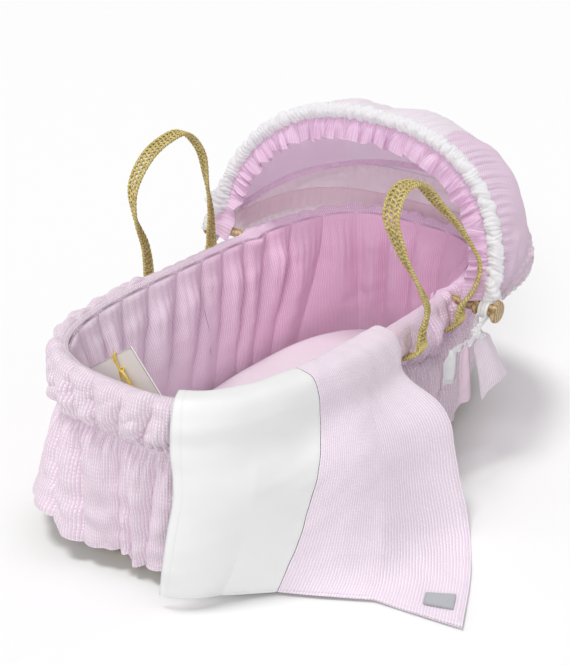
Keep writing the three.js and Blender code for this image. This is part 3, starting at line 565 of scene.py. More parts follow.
MAUVE = plain_cloth("mauve_lining", colour(255, 242, 253), colour(253, 233, 248), through=0.72)
CREAM = plain_cloth("cream_lining", colour(254, 246, 248), colour(250, 237, 242), through=0.7)
LILAC = plain_cloth("lilac_sheet", colour(228, 217, 224), colour(222, 208, 217), 0.85, 0.25, 0.0001)
WADDING = plain_cloth("cream_wadding", colour(246, 240, 228), colour(234, 226, 210), 0.95, 0.3, 0.0006)
ELASTIC = plain_cloth("elastic", colour(244, 244, 244), colour(225, 225, 228), 0.8, 0.1, 0.0004)
LABEL = plain_cloth("blank_label", colour(176, 179, 183), colour(164, 167, 172), 0.5, 0.1, 0.0001)
CARD = plain_cloth("card", colour(255, 254, 248), colour(252, 250, 238), 0.7, 0.0, 0.00008)
# Each straw's last colour is painted shade in the crevices of the handles' plait, and also darkens some leaf
# strips at random.
STRAW = straw_material(
    "palm_straw", colour(170, 143, 70), colour(221, 202, 128), colour(243, 231, 176), colour(84, 62, 20)
)
BASE_STRAW = straw_material(
    "base_straw", colour(92, 72, 30), colour(158, 132, 72), colour(200, 178, 118), colour(70, 52, 20)
)
RAFFIA = straw_material(
    "raffia", colour(228, 184, 66), colour(245, 214, 104), colour(254, 238, 160), colour(200, 150, 40)
)
WOOD = wood_material("turned_wood")
STEEL = steel_material("steel")
COATED = plain_cloth("white_coated_wire", colour(240, 240, 240), colour(232, 233, 235), 0.4, 0.0, 0.00004)


# ---- The basket's oval ----


def rim_top(x):
    share = x / RIM_L
    return RIM_H + RIM_END_RISE * share**2 - RIM_HEAD_DROP * share


def oval(turn, a, b, n):
    c, s = np.cos(turn), np.sin(turn)
    x, y = np.sign(c) * np.abs(c) ** (2 / n), np.sign(s) * np.abs(s) ** (2 / n)
    nx = np.sign(x) * np.abs(x) ** (n - 1) / a
    ny = np.sign(y) * np.abs(y) ** (n - 1) / b
    out = unit(np.stack([nx, ny, np.zeros_like(nx)], -1))
    return x * a, y * b, out


def beside(turn, outset, anchor, rise):
    """Points beside the wall: outset from its middle, rise above the floor (anchor 0) or the rim (1)."""
    turn, outset, anchor, rise = np.broadcast_arrays(turn, outset, anchor, rise)
    rx, ry, out = oval(turn, RIM_L, RIM_W, RIM_N)
    bx, by, _ = oval(turn, BASE_L, BASE_W, BASE_N)
    top = rim_top(rx)
    z = anchor * top + rise
    share = z / top
    return together(
        bx + (rx - bx) * share + out[..., 0] * outset,
        by + (ry - by) * share + out[..., 1] * outset,
        z,
    )


def beside_at(x, side, outset, anchor, rise):
    share = min(abs(x) / RIM_L, 1)
    turn = math.acos(math.copysign(share ** (RIM_N / 2), x))
    return beside(np.array(side * turn), outset, anchor, rise)


def around(count):
    """Turns spaced evenly by distance round the rim, their distances and the whole way round."""
    t = np.linspace(math.pi / 2, 5 * math.pi / 2, 60001)
    x, y, _ = oval(t, RIM_L, RIM_W, RIM_N)
    far = np.concatenate([[0], np.cumsum(np.hypot(np.diff(x), np.diff(y)))])
    s = np.linspace(0, far[-1], count + 1)
    return np.interp(s, far, t), s, far[-1]


def ring_surface(turns, profile, rows):
    """A surface round the basket through profile lines (outset, anchor, rise) in millimetres."""
    lines = [beside(turns, o / 1000, a, r / 1000) for o, a, r in profile]
    return np.swapaxes(through(np.stack(lines), np.linspace(0, 1, rows)), 0, 1)


def row_lengths(p):
    """Mean distance down the rows of a grid (columns, rows, 3)."""
    step = np.linalg.norm(np.diff(p, axis=1), axis=-1).mean(0)
    return np.concatenate([[0], np.cumsum(step)])


def outward(p, turns):
    n = grid_normals(p, closed=True)
    _, _, out = oval(turns, RIM_L, RIM_W, RIM_N)
    return n if (n[:, p.shape[1] // 2] * out).sum(-1).mean() > 0 else -n


def cloth_ring(node, slot, p, turns, s, thickness, material, gain=1.0, hem=False):
    """A sheet round the basket. gain is how much longer its cloth is than the rim, and a hem is stitched."""
    n = outward(p, turns)
    v = row_lengths(p)
    uv = together(s[:, None] * gain, v[None, :])
    edge = np.ones_like(uv)
    if hem:
        edge = together((v[-1] - v)[None, :], s[:, None] * gain)
    b = Pieces()
    b.shell(p + n * thickness / 2, p - n * thickness / 2, uv, edge)
    return settle(b.make(node + "_look", [material]), node, slot)


FINE = 1500
# How far the liner's folds lean round the basket, from the middle of the far side towards the foot end.
LINER_LEAN = [-17, -16, -4, 15, 12, 0, -4, -13, -17]


def woven_wall():
    turns, s, total = around(1300)
    rows = 110
    p = ring_surface(turns, [(0, FLOOR, 16.2), (0, FLOOR, 145), (0, RIM, -17.8)], rows)
    n = outward(p, turns)
    v = row_lengths(p)
    count = round(total / 0.014)
    a = s[:, None] / total * count * math.pi + v[None, :] / 0.014 * math.pi
    c = s[:, None] / total * count * math.pi - v[None, :] / 0.014 * math.pi
    over = np.sin(a) * np.sin(c)
    strips = 0.0011 * over + 0.0004 * np.abs(np.sin(v[None, :] / 0.028 * math.pi))
    uv = together(s[:, None], v[None, :])
    b = Pieces()
    b.shell(p + n * (0.0022 + strips)[..., None], p - n * (0.0022 - strips)[..., None], uv)
    settle(b.make("wall_woven_palm_look", [BASE_STRAW]), "wall_woven_palm", "palm_straw")

    def wrapped(name, node, level, outset, anchor, radius, turns_count, pitch):
        turns, s, total = around(turns_count)
        path = beside(turns, outset, anchor, level)
        wraps = round(total / pitch)
        angle = np.linspace(0, TAU, 17)
        _, _, out = oval(turns, RIM_L, RIM_W, RIM_N)
        lay = np.abs(np.sin(math.pi * wraps * s[:, None] / total + angle[None, :]))
        r = radius * (0.86 + 0.14 * lay**0.6 + 0.02 * waves(s, total, 3, 60, 5)[:, None])
        p = path[:, None] + r[..., None] * (
            np.cos(angle)[None, :, None] * out[:, None]
            + np.sin(angle)[None, :, None] * np.array([0, 0, 1.0])
        )
        uv = together(s[:, None], angle[None, :] * radius)
        b = Pieces()
        b.grid(p, uv)
        settle(b.make(name, [BASE_STRAW]), node, "palm_straw")

    wrapped("base_edge_coil_look", "base_edge_coil", 0.0077, 0.0, FLOOR, 0.0077, 1500, 0.0085)
    wrapped("rim_wrapped_roll_look", "rim_wrapped_roll", -0.0104, 0.0, RIM, 0.0069, 700, 0.010)

    u, w = np.linspace(-1, 1, 361), np.linspace(-1, 1, 161)
    inset = 0.0088
    half = (BASE_W - inset) * (1 - np.abs(u) ** BASE_N) ** (1 / BASE_N)
    half = np.maximum(half, 0.002)
    x = np.broadcast_to(((BASE_L - inset) * u)[:, None], (361, 161))
    y = half[:, None] * w[None, :]
    lay = np.sin(math.pi * (x + y) / 0.013) * np.sin(math.pi * (x - y) / 0.013)
    uv = np.stack([x, y], -1)
    b = Pieces()
    up, down = together(x, y, 0.0078 + 0.001 * lay), together(x, y, 0.0012 + 0.001 * lay)
    b.shell(down, up, uv)
    settle(b.make("base_woven_floor_look", [BASE_STRAW]), "base_woven_floor", "palm_straw")


def over_bolts(p, share=1.0):
    """The cloth lies over the inner end of each peg's bolt."""
    below = rim_top(p[..., 0]) - p[..., 2]
    off = ((p[..., 0] - PIVOT_X) / 0.016) ** 2 + ((below - 0.009) / 0.016) ** 2
    p[..., 1] -= np.sign(p[..., 1]) * 0.0095 * np.exp(-off) * share


def inside_fold(p, s, total):
    """How far the lining stands in from the wall: leaning gathers that deepen below the rim."""
    sc = s[:, None]
    below = rim_top(p[..., 0]) - p[..., 2]
    lean = np.interp(s, [0, 0.16, 0.30, 0.37, 0.46, 0.62, total - 0.42, total - 0.12, total], LINER_LEAN)
    lean = (lean + 3.5 * waves(s, total, 4, 12, 27))[:, None]
    slip = lean * (below - 0.03)
    big = gathers(sc + 0 * below, total, 32, 22, slip, 0.9)
    small = gathers(sc + 0 * below, total, 128, 23, slip * 2.6, 1.6)
    calm = 0.50 + 0.50 * smooth(-0.6, 0.9, waves(s, total, 6, 22, 24))[:, None]
    toward_head = 1 + 0.45 * smooth(0.05, 0.25, p[..., 0])
    size = 0.0008 + 0.0062 * smooth(0, 0.014, below)
    size = size + 0.0175 * smooth(0.012, 0.070, below) * calm * toward_head
    size = size * (1 - 0.8 * smooth(0.12, 0.235, below)) - 0.0004
    soft = 0.0010 * ripple(sc, p[..., 2], 0.045, 25) * smooth(0.02, 0.06, below) * smooth(0.22, 0.15, below)
    return size * (big**0.9 * 0.90 + small * 0.10 * smooth(0.16, 0.03, below)) + soft


def liner_inside():
    """It hangs in leaning gathers from the rim to the floor."""
    turns, s, total = around(FINE)
    profile = [(-7.6, RIM, -5), (-8.4, RIM, -14), (-7.4, RIM, -40), (-5.2, FLOOR, 145), (-4.6, FLOOR, 19)]
    p = ring_surface(turns, profile, 100)
    p = p - outward(p, turns) * inside_fold(p, s, total)[..., None]
    over_bolts(p)
    o = cloth_ring("liner_inside", "pink_seersucker", p, turns, s, 0.0012, LINER_PINK, 1.35)


def liner_cuff():
    """It is turned over the rim, puffed out and pinched in at the elastic."""
    turns, s, total = around(FINE)
    sc = s[:, None]
    profile = [
        (-6.6, RIM, -13),
        (-9.2, RIM, -7.5),
        (-6.6, RIM, -1.9),
        (0, RIM, 0.3),
        (12, RIM, -2.6),
        (23, RIM, -20),
        (28, RIM, -46),
        (23, RIM, -70),
        (12, RIM, -83),
        (6.8, RIM, -87.5),
    ]
    rows = 84
    p = ring_surface(turns, profile, rows)
    t = np.linspace(0, 1, rows)[None, :]
    n = outward(p, turns)
    inner = 1 - smooth(0.06, 0.20, t)
    slip = 2.4 * waves(s, total, 2, 12, 31)[:, None] * (t - 0.5)
    big = gathers(sc + 0 * t, total, 50, 32, slip, 1.9)
    small = gathers(sc + 0 * t, total, 170, 33, slip * 2, 1.6)
    puff = smooth(0.22, 0.50, t) * (1 - smooth(0.88, 1.0, t))
    pinch = smooth(0.62, 0.95, t)
    calm = (0.50 + 0.50 * smooth(-0.7, 0.9, waves(s, total, 9, 30, 34)))[:, None]
    depth = 0.0200 * puff * (1 - big**0.7) * calm
    depth = depth + (0.0050 * pinch + 0.0010 * puff) * (1 - small)
    depth = depth + 0.0030 * smooth(0.10, 0.26, t) * (1 - smooth(0.26, 0.5, t)) * (1 - big**0.5) * calm
    covered = (smooth(0.58, 0.63, s) * smooth(1.06, 1.01, s))[:, None]
    at_handles = smooth(-0.13, -0.09, p[..., 0]) * smooth(0.15, 0.125, p[..., 0])
    bulge = 0.0045 * big * calm + 0.0036 * np.abs(ripple(sc, t * 0.14, 0.05, 37))
    bulge = smooth(0.12, 0.22, t) * (1 - smooth(0.70, 0.95, t)) * bulge
    soft = (ripple(sc, t * 0.14, 0.034, 35) * 0.0017 + ripple(sc, t * 0.14, 0.075, 36) * 0.0016) * puff
    near_peg = np.exp(-(((s - total / 2 - 0.078) / 0.032) ** 2))[:, None]
    hip = 0.016 * near_peg * smooth(0.30, 0.5, t) * (1 - smooth(0.75, 0.95, t))
    free = bulge * (1 - covered) * (1 - at_handles) + np.minimum(soft + 0.0010, 0.0024)
    move = (free - depth + hip) * (1 - inner) - inner * inside_fold(p, s, total)
    p = p + n * move[..., None]
    over_bolts(p, 1 - smooth(0.22, 0.45, t))
    o = cloth_ring("liner_cuff", "pink_seersucker", p, turns, s, 0.0014, CUFF_PINK, 1.3)


def liner_elastic():
    """The elastic in its casing at the foot of the cuff."""
    turns, s, total = around(FINE)
    p = ring_surface(turns, [(5.2, RIM, -84.5), (5.4, RIM, -88), (5.2, RIM, -91)], 7)
    p = p + outward(p, turns) * (0.0005 * gathers(s, total, 330, 41))[:, None, None]
    cloth_ring("liner_elastic", "white_cotton", p, turns, s, 0.0016, ELASTIC)


def liner_skirt():
    """It has fine gathers at the elastic that open into broad folds at the hem."""
    turns, s, total = around(FINE)
    sc = s[:, None]
    seam = -92
    profile = [
        (7.6, RIM, seam + 6.5),
        (10, RIM, seam + 1),
        (17.5, RIM, seam - 10),
        (26, RIM, seam - 42),
        (33, FLOOR, 90),
        (36, FLOOR, 38),
    ]
    rows = 96
    p = ring_surface(turns, profile, rows)
    t = np.linspace(0, 1, rows)[None, :]
    n = outward(p, turns)
    slip = 1.6 * waves(s, total, 2, 10, 51)[:, None] * t
    sway = 0.012 * t * waves(s, total, 5, 20, 52)[:, None]
    broad = waves(sc + sway, total, 9, 27, 53, 10)
    folds = gathers(sc + sway, total, 44, 54, slip, 2.0)
    fine = gathers(sc + 0 * t, total, 150, 55, slip * 1.5, 1.5)
    depth = 0.0100 * broad * smooth(0.12, 0.9, t)
    depth = depth + 0.0185 * (folds**0.7 - 0.8) * smooth(0.03, 0.3, t) * (1 - 0.4 * smooth(0.5, 1, t))
    depth = depth + 0.0062 * (fine**0.8 - 0.8) * smooth(0, 0.04, t) * (1 - smooth(0.14, 0.45, t))
    depth = depth + ripple(sc, t * 0.17, 0.045, 56) * 0.0022 * smooth(0.15, 0.5, t)
    corner = np.exp(-(((s - 0.390) / 0.080) ** 2))
    depth = depth + 0.058 * corner[:, None] * t**1.1
    at = p[:, -1]
    foot = at[:, 0] < -0.30
    y = at[:, 1]
    # At the foot end the hem hangs lower in two steps, with one deep fold.
    hem = 0.043 + 0.006 * waves(s, total, 4, 14, 57)
    low = np.interp(
        y,
        [-0.12, -0.095, -0.036, -0.031, -0.026, 0.01, 0.045, 0.072, 0.080, 0.10, 0.135, 0.17],
        [0.034, 0.030, 0.022, 0.024, 0.040, 0.036, 0.030, 0.034, 0.050, 0.054, 0.046, 0.046],
    )
    blend = foot * smooth(-0.30, -0.36, at[:, 0])
    hem = hem * (1 - blend) + low * blend
    deep = foot * np.exp(-(((y + 0.029) / 0.006) ** 2))
    depth = depth - 0.012 * deep[:, None] * smooth(0.15, 0.7, t)
    p = p + n * depth[..., None]
    p[..., 2] += (hem + 0.014 * corner - 0.038)[:, None] * smooth(0.35, 1.0, t)
    o = cloth_ring("liner_skirt", "pink_seersucker", p, turns, s, 0.0013, PALE_PINK, 1.45, hem=True)


# ---- Mattress ----


def settled(p):
    """The mattress's top crowns and its cloth moves a little, as it does on wadding."""
    x, y, z = p[..., 0], p[..., 1], p[..., 2]
    up = smooth(0.03, MAT_TOP, z)
    soft = ripple(x, y, 0.16, 61) * 0.0006 + ripple(x, y, 0.05, 62) * 0.00018
    crown = 0.0022 * (1 - (x / MAT_L) ** 2) * (1 - (y / MAT_W) ** 2)
    pull = ripple(x * 3, y * 3 + z, 0.12, 63) * 0.0006 * smooth(0.062, 0.03, z)
    p = p.copy()
    p[..., 2] += (soft + crown - 0.002) * up
    p[..., :2] *= (1 + pull)[..., None]
    return p


def slab(b, levels, count):
    """Rings of a squared oval at (inset, height) levels, from the middle of one face out and round."""
    turn = np.linspace(0, TAU, count + 1)
    rows = []
    for inset, z in levels:
        x, y, _ = oval(turn, max(MAT_L - inset, 0.0005), max(MAT_W - inset, 0.0005), MAT_N)
        rows.append(np.stack([x, y, np.full_like(x, z)], -1))
    p = np.swapaxes(np.stack(rows), 0, 1)
    p = settled(p)
    b.grid(p, p[..., :2].copy())


def bedding():
    def dome(side, bottom):
        centre = [(MAT_W * (1 - k), MAT_TOP) for k in np.linspace(0.02, 0.86, 34)]
        low = MAT_TOP - MAT_BEND
        turn = np.linspace(0, 1, 12) * math.pi / 2
        edge = [(MAT_BEND - MAT_BEND * math.sin(a), low + MAT_BEND * math.cos(a)) for a in turn]
        return centre + edge + [(0.0, z) for z in np.linspace(low - 0.003, bottom, side)]

    b = Pieces()
    levels = dome(12, 0.014)
    slab(b, levels, 260)
    under = [(a + 0.0011, z - 0.0011 if z > 0.05 else z) for a, z in levels]
    slab(b, under[::-1], 260)
    sheet = settle(b.make("mattress_fitted_sheet_look", [LILAC]), "mattress_fitted_sheet", "lilac_sheet")

    b = Pieces()
    inner = [(a + 0.0019, z - 0.0016) for a, z in dome(10, 0.0116)]
    inner += [(0.006, MAT_FLOOR + 0.0004), (0.03, MAT_FLOOR), (0.08, MAT_FLOOR), (MAT_W, MAT_FLOOR)]
    slab(b, inner, 200)
    core = settle(b.make("mattress_core_look", [WADDING]), "mattress_core", "cream_wadding")


# ---- Pegs ----


def lathe(b, profile, side):
    """A turned piece on the hood's axis, from (radius, distance out) corners."""
    line = np.asarray(profile, float)
    angle = np.linspace(0, TAU, 57)
    r, y = line[:, 0], line[:, 1]
    p = together(
        PIVOT_X + r[:, None] * np.cos(angle)[None, :],
        side * y[:, None],
        PIVOT_Z + r[:, None] * np.sin(angle)[None, :],
    )
    uv = together(angle[None, :] * 0.01, y[:, None])
    b.grid(p, uv, flip=side > 0)


def pegs():
    for label, side in (("near", -1), ("far", 1)):
        corners = [
            (0.0001, PEG_FOOT + 0.032),
            (0.0031, PEG_FOOT + 0.032),
            (0.0031, PEG_FOOT),
            (0.0075, PEG_FOOT),
            (0.0080, PEG_FOOT + 0.0006),
            (0.0080, PEG_FLANGE - 0.0030),
            (0.0095, PEG_FLANGE - 0.0016),
            (0.0124, PEG_FLANGE - 0.0003),
            (0.0130, PEG_FLANGE + 0.0012),
            (0.0130, PEG_FLANGE + 0.0035),
            (0.0118, PEG_WAIST - 0.0012),
            (0.0105, PEG_WAIST + 0.0004),
            (0.0101, PEG_WAIST + 0.006),
            (0.0100, PEG_WAIST + 0.013),
            (0.0103, PEG_DISC - 0.006),
            (0.0112, PEG_DISC - 0.0028),
            (0.0138, PEG_DISC - 0.0008),
            (0.0166, PEG_DISC + 0.0002),
            (0.0182, PEG_DISC + 0.0016),
            (0.0186, PEG_DISC + 0.0035),
            (0.0180, PEG_END - 0.0028),
            (0.0163, PEG_END - 0.0010),
            (0.0130, PEG_END - 0.0002),
            (0.0070, PEG_END),
            (0.0001, PEG_END),
        ]
        b = Pieces()
        lathe(b, corners, side)
        name = f"peg_{label}_turned_wood"
        settle(b.make(name + "_look", [WOOD]), name, "turned_wood")
        for part in ("bolt", "washer"):
            node = NODES[f"peg_{label}_{part}"]
            node.data.materials.clear()
            node.data.materials.append(STEEL)


# ---- Hood ----


def hoop_point(lean, height, half, n, turn):
    lean = np.radians(lean)
    c, s = np.cos(turn), np.sin(turn)
    rise = height * np.abs(s) ** (2 / n)
    y = -half * np.sign(c) * np.abs(c) ** (2 / n)
    return together(PIVOT_X + rise * np.sin(lean), y, PIVOT_Z + rise * np.cos(lean))


def hoop_path(hoop, start, count):
    lean, height, half, n = hoop
    first = math.asin((start / height) ** (n / 2))
    turn = np.linspace(first, math.pi - first, 6001)
    return evenly(hoop_point(lean, height, half, n, turn), count)


def follow_hood(o):
    """Bakes the object's place into its mesh. The cloth between the hoops is tied to no body, so it does not
    turn round the pegs."""
    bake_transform(o)


CANOPY_JOIN = MID[0] + 6.2
LINING = 2


def canopy_shape(lean):
    share = (lean - FRONT[0]) / (BACK[0] - FRONT[0])
    bulge = 0.011 * np.sin(math.pi * np.minimum(share * 1.4, 1))
    height = FRONT[1] + (BACK[1] + 0.007 - FRONT[1]) * share + 0.001 + bulge * 0.3
    half = FRONT[2] + 0.005 + (BACK[2] + 0.007 - FRONT[2] - 0.005) * share
    return height, half, FRONT[3] + (BACK[3] - FRONT[3]) * share


def canopy(node, low, high, columns, rows, puff, which, materials, slot, hem):
    """Rows of the sheet go from its front edge back, and columns from the near peg over to the far one.
    The materials are white, pink and the lining, and which says where the outside is white (0) or pink (1).
    The back canopy has a hem that hangs below the back hoop."""
    height, _, n = canopy_shape(FRONT[0])
    start = math.asin((0.019 / height) ** (n / 2))
    fine = np.linspace(start, math.pi - start, 4001)
    mid = hoop_point((low + high) / 2, *canopy_shape((low + high) / 2), fine)
    far = lengths(mid)
    u = np.linspace(0, far[-1], columns)
    turn = np.interp(u, far, fine)[:, None]
    share = np.linspace(0, 1, rows)[None, :]
    first = low
    if not hem:
        reach = canopy_shape(FRONT[0])[0] * np.sin(turn) ** (2 / n)
        first = np.minimum(low + np.degrees(0.0135 / reach), high - 4)
    lean = first + (high - first) * share
    if hem:
        reach = canopy_shape(90.0)[0] * np.sin(turn) ** (2 / BACK[3])
        drop = (0.004 + 0.028 * smooth(0.55, 1.25, turn)) / np.maximum(reach, 0.03)
        lean = lean + np.degrees(np.arcsin(np.minimum(drop, 0.9))) * smooth(0.35, 1.0, share)
    h, half, square = canopy_shape(lean)
    p = hoop_point(lean, h, half, square, turn)
    nrm = grid_normals(p)
    centre = np.array([PIVOT_X, 0, PIVOT_Z])
    if (nrm * (p - centre)).sum(-1).mean() < 0:
        nrm = -nrm
    length = far[-1]
    p = p + nrm * puff(u[:, None], share, length)[..., None]
    nrm2 = grid_normals(p)
    if (nrm2 * nrm).sum(-1).mean() < 0:
        nrm2 = -nrm2
    v = row_lengths(p)
    uv = together(v[None, :], u[:, None])
    b = Pieces()
    b.shell(p, p - nrm2 * 0.0016, uv, None, (0, LINING), which(u[:-1, None] / length, share[:, :-1]))
    if hem:
        hoop = hoop_path(BACK, 0.030, 500)
        s = lengths(hoop)[:, None]
        inward = unit((centre - hoop) * np.array([1, 1, 0]))[:, None]
        fall = np.linspace(0.020, -0.016, 16)[None, :]
        gap = 0.0052 + 0.0012 * gathers(s + 0 * fall, s[-1, 0], 60, 94, 30 * fall, 1.4)
        strip = hoop[:, None] + inward * gap[..., None] + fall[..., None] * np.array([0, 0, 1.0])
        uv = together(fall, s)
        b.shell(strip, strip + inward * 0.0010, uv, None, (LINING, LINING))
    o = b.make(node + "_look", materials)
    follow_hood(o)
    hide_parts(node)
    return o


def hood_hoops():
    for node in ("hood_front_hoop", "hood_middle_hoop", "hood_back_hoop"):
        NODES[node].data.materials.clear()
        NODES[node].data.materials.append(COATED)
        NODES[node].data.shade_smooth()


def hood_binding():
    """The white binding, scrunched along the front hoop."""
    path = hoop_path(FRONT, 0.0145, 920)
    total = lengths(path)[-1]
    over = smooth(total - 0.055, total, lengths(path))[:, None]
    path = path + over * np.array([-0.020, 0.008, -0.016])
    path = path + smooth(0.040, 0, lengths(path))[:, None] * np.array([0.0, 0.004, -0.012])

    def scrunched(s, angle):
        slip = 1.3 * np.sin(angle + 4 * waves(s, total, 2, 9, 71)) + 0.7 * np.sin(2 * angle + s * 60)
        creases = gathers(s, total, 104, 72, slip, 2.2) ** 0.7
        folds = gathers(s, total, 40, 73, 1.2 * np.cos(angle + 1) + s * 9, 1.6)
        lumps = 0.0010 * ripple(s, angle * 0.013, 0.030, 74)
        ends = smooth(0, 0.012, s) * smooth(total, total - 0.012, s)
        loose = 1 + 0.9 * smooth(total - 0.060, total - 0.015, s) + 0.2 * smooth(0.045, 0.012, s)
        return (0.0086 + 0.0024 * creases + 0.0028 * folds + 1.3 * lumps) * (0.45 + 0.55 * ends) * loose

    b = Pieces()
    b.tube(path, scrunched, 40, spin=np.broadcast_to(np.array([1.0, 0, 0]), path.shape))
    o = settle(b.make("hood_front_binding_look", [WHITE]), "hood_front_binding", "white_cotton")


def hood_frill():
    """The frill stands in from the binding in pleats that open at its scalloped edge."""
    path = hoop_path(FRONT, 0.020, 1150)
    total = lengths(path)[-1]
    tangent = unit(np.gradient(path, axis=0))
    lean = math.radians(FRONT[0])
    plane = np.array([math.cos(lean), 0, -math.sin(lean)])
    inward = unit(np.cross(plane, tangent))
    if (inward * (np.array([PIVOT_X, 0, PIVOT_Z]) - path)).sum(-1).mean() < 0:
        inward = -inward
    s = lengths(path)
    t = np.linspace(0, 1, 26)[None, :]
    pleat = waves(s, total, 14, 30, 81, 9)[:, None]
    sharp = gathers(s, total, 40, 82, 0, 2.6)[:, None]
    tiny = gathers(s, total, 110, 83, 0, 1.8)[:, None]
    open_up = smooth(0.0, 0.8, t)
    side = (0.0050 * pleat + 0.0100 * (sharp**0.8 - 0.6)) * open_up
    side = side + 0.0028 * (tiny - 0.6) * (1 - 0.6 * open_up) - 0.0035 * smooth(0, 0.5, t)
    scallop = 0.0034 * (sharp - 0.5) + 0.0036 * waves(s, total, 8, 22, 84)[:, None]
    reach = 0.0090 + (0.0375 + scallop) * t
    drift = 0.0075 * waves(s, total, 10, 30, 85) + 0.0030 * waves(s, total, 30, 60, 86)
    drift = drift[:, None] * open_up
    last = np.exp(-((np.minimum(s, total - s) / 0.030) ** 2))[:, None]
    p = path[:, None] + inward[:, None] * reach[..., None]
    p = p + plane * (side - 0.016 * last)[..., None] + tangent[:, None] * drift[..., None]
    p[..., 2] -= 0.016 * last * (0.4 + 0.6 * t)
    far_end = np.exp(-(((total - s) / 0.034) ** 2))[:, None, None]
    p = p + far_end * np.array([-0.008, 0.008, -0.016])
    n = grid_normals(p)
    v = np.linspace(0, 0.0385, 26)
    uv = together(v[None, :], s[:, None] * 1.6)
    uv = uv[..., ::-1]
    edge = together((v[-1] - v)[None, :] + 0.002, s[:, None])
    b = Pieces()
    b.shell(p + n * 0.0005, p - n * 0.0005, uv, edge)
    o = settle(b.make("hood_frill_look", [FRILL_PINK]), "hood_frill", "deep_pink_seersucker")


def hood_channel():
    """The channel over the middle hoop."""
    path = hoop_path(MID, 0.062, 620)
    total = lengths(path)[-1]

    def ruched(s, angle):
        slip = 0.8 * np.sin(angle + 3 * waves(s, total, 2, 9, 91))
        return 0.0042 + 0.0016 * gathers(s, total, 130, 92, slip, 1.4) + 0.0003 * np.cos(3 * angle)

    b = Pieces()
    b.tube(path, ruched, 18, spin=np.broadcast_to(np.array([0, 0.2, 1.0]), path.shape))
    o = settle(b.make("hood_middle_channel_look", [MAUVE]), "hood_middle_channel", "deep_pink_seersucker")


def hood_canopies():
    def front_puff(u, share, length):
        across = u / length
        crown = smooth(0.16, 0.36, across) * smooth(0.84, 0.64, across)
        swell = np.sin(math.pi * np.clip(share * 1.05, 0, 1)) ** 0.8
        lumps = 0.55 + 0.45 * np.abs(np.cos(math.pi * (across - 0.43) / 0.17))
        rays = gathers(u + 0 * share, length, 58, 101, 0, 1.6)
        fine = gathers(u + 0 * share, length, 120, 102, 0, 1.2)
        near = 1 - smooth(0.05, 0.55, share)
        d = 0.0230 * swell * crown * lumps + 0.0035 * swell
        d = d - 0.0042 * (1 - rays) * near - 0.0016 * (1 - fine) * near
        return d + ripple(u, share * 0.12, 0.06, 103) * 0.0016 * swell

    def front_which(across, share):
        edge = 0.335 + 0.02 * np.sin(share * 5)
        return np.where((across > edge) & (across < 1 - edge), 0, 1)

    shape = (FRONT[0], CANOPY_JOIN, 900, 54, front_puff, front_which)
    o = canopy("hood_front_canopy", *shape, [WHITE, HOOD_PINK, MAUVE], "white_cotton", hem=False)

    def back_puff(u, share, length):
        across = u / length
        rays = gathers(u + 0 * share, length, 44, 111, 0, 1.5)
        near = smooth(0.0, 0.12, share) * (1.35 - smooth(0.1, 0.5, share))
        swell = np.sin(math.pi * np.clip(share, 0, 1)) ** 0.7
        low = 1 - smooth(0.05, 0.30, across) * smooth(0.95, 0.70, across)
        d = 0.0040 * swell - 0.0034 * (1 - rays) * near - 0.0030 * low * (1 - rays) * smooth(0.3, 0.9, share)
        return d + ripple(u, share * 0.2, 0.07, 112) * 0.0026 * swell

    def back_which(across, share):
        side = np.minimum(across, 1 - across)
        corner = share > 0.86 - 0.25 * np.exp(-((side / 0.10) ** 2))
        return np.where(corner, 0, 1)

    shape = (CANOPY_JOIN, 92.0, 800, 72, back_puff, back_which)
    o = canopy("hood_back_canopy", *shape, [WHITE, HOOD_PINK, CREAM], "pink_seersucker", hem=True)


# ---- Handles ----


PLAIT_PITCH = 0.0086


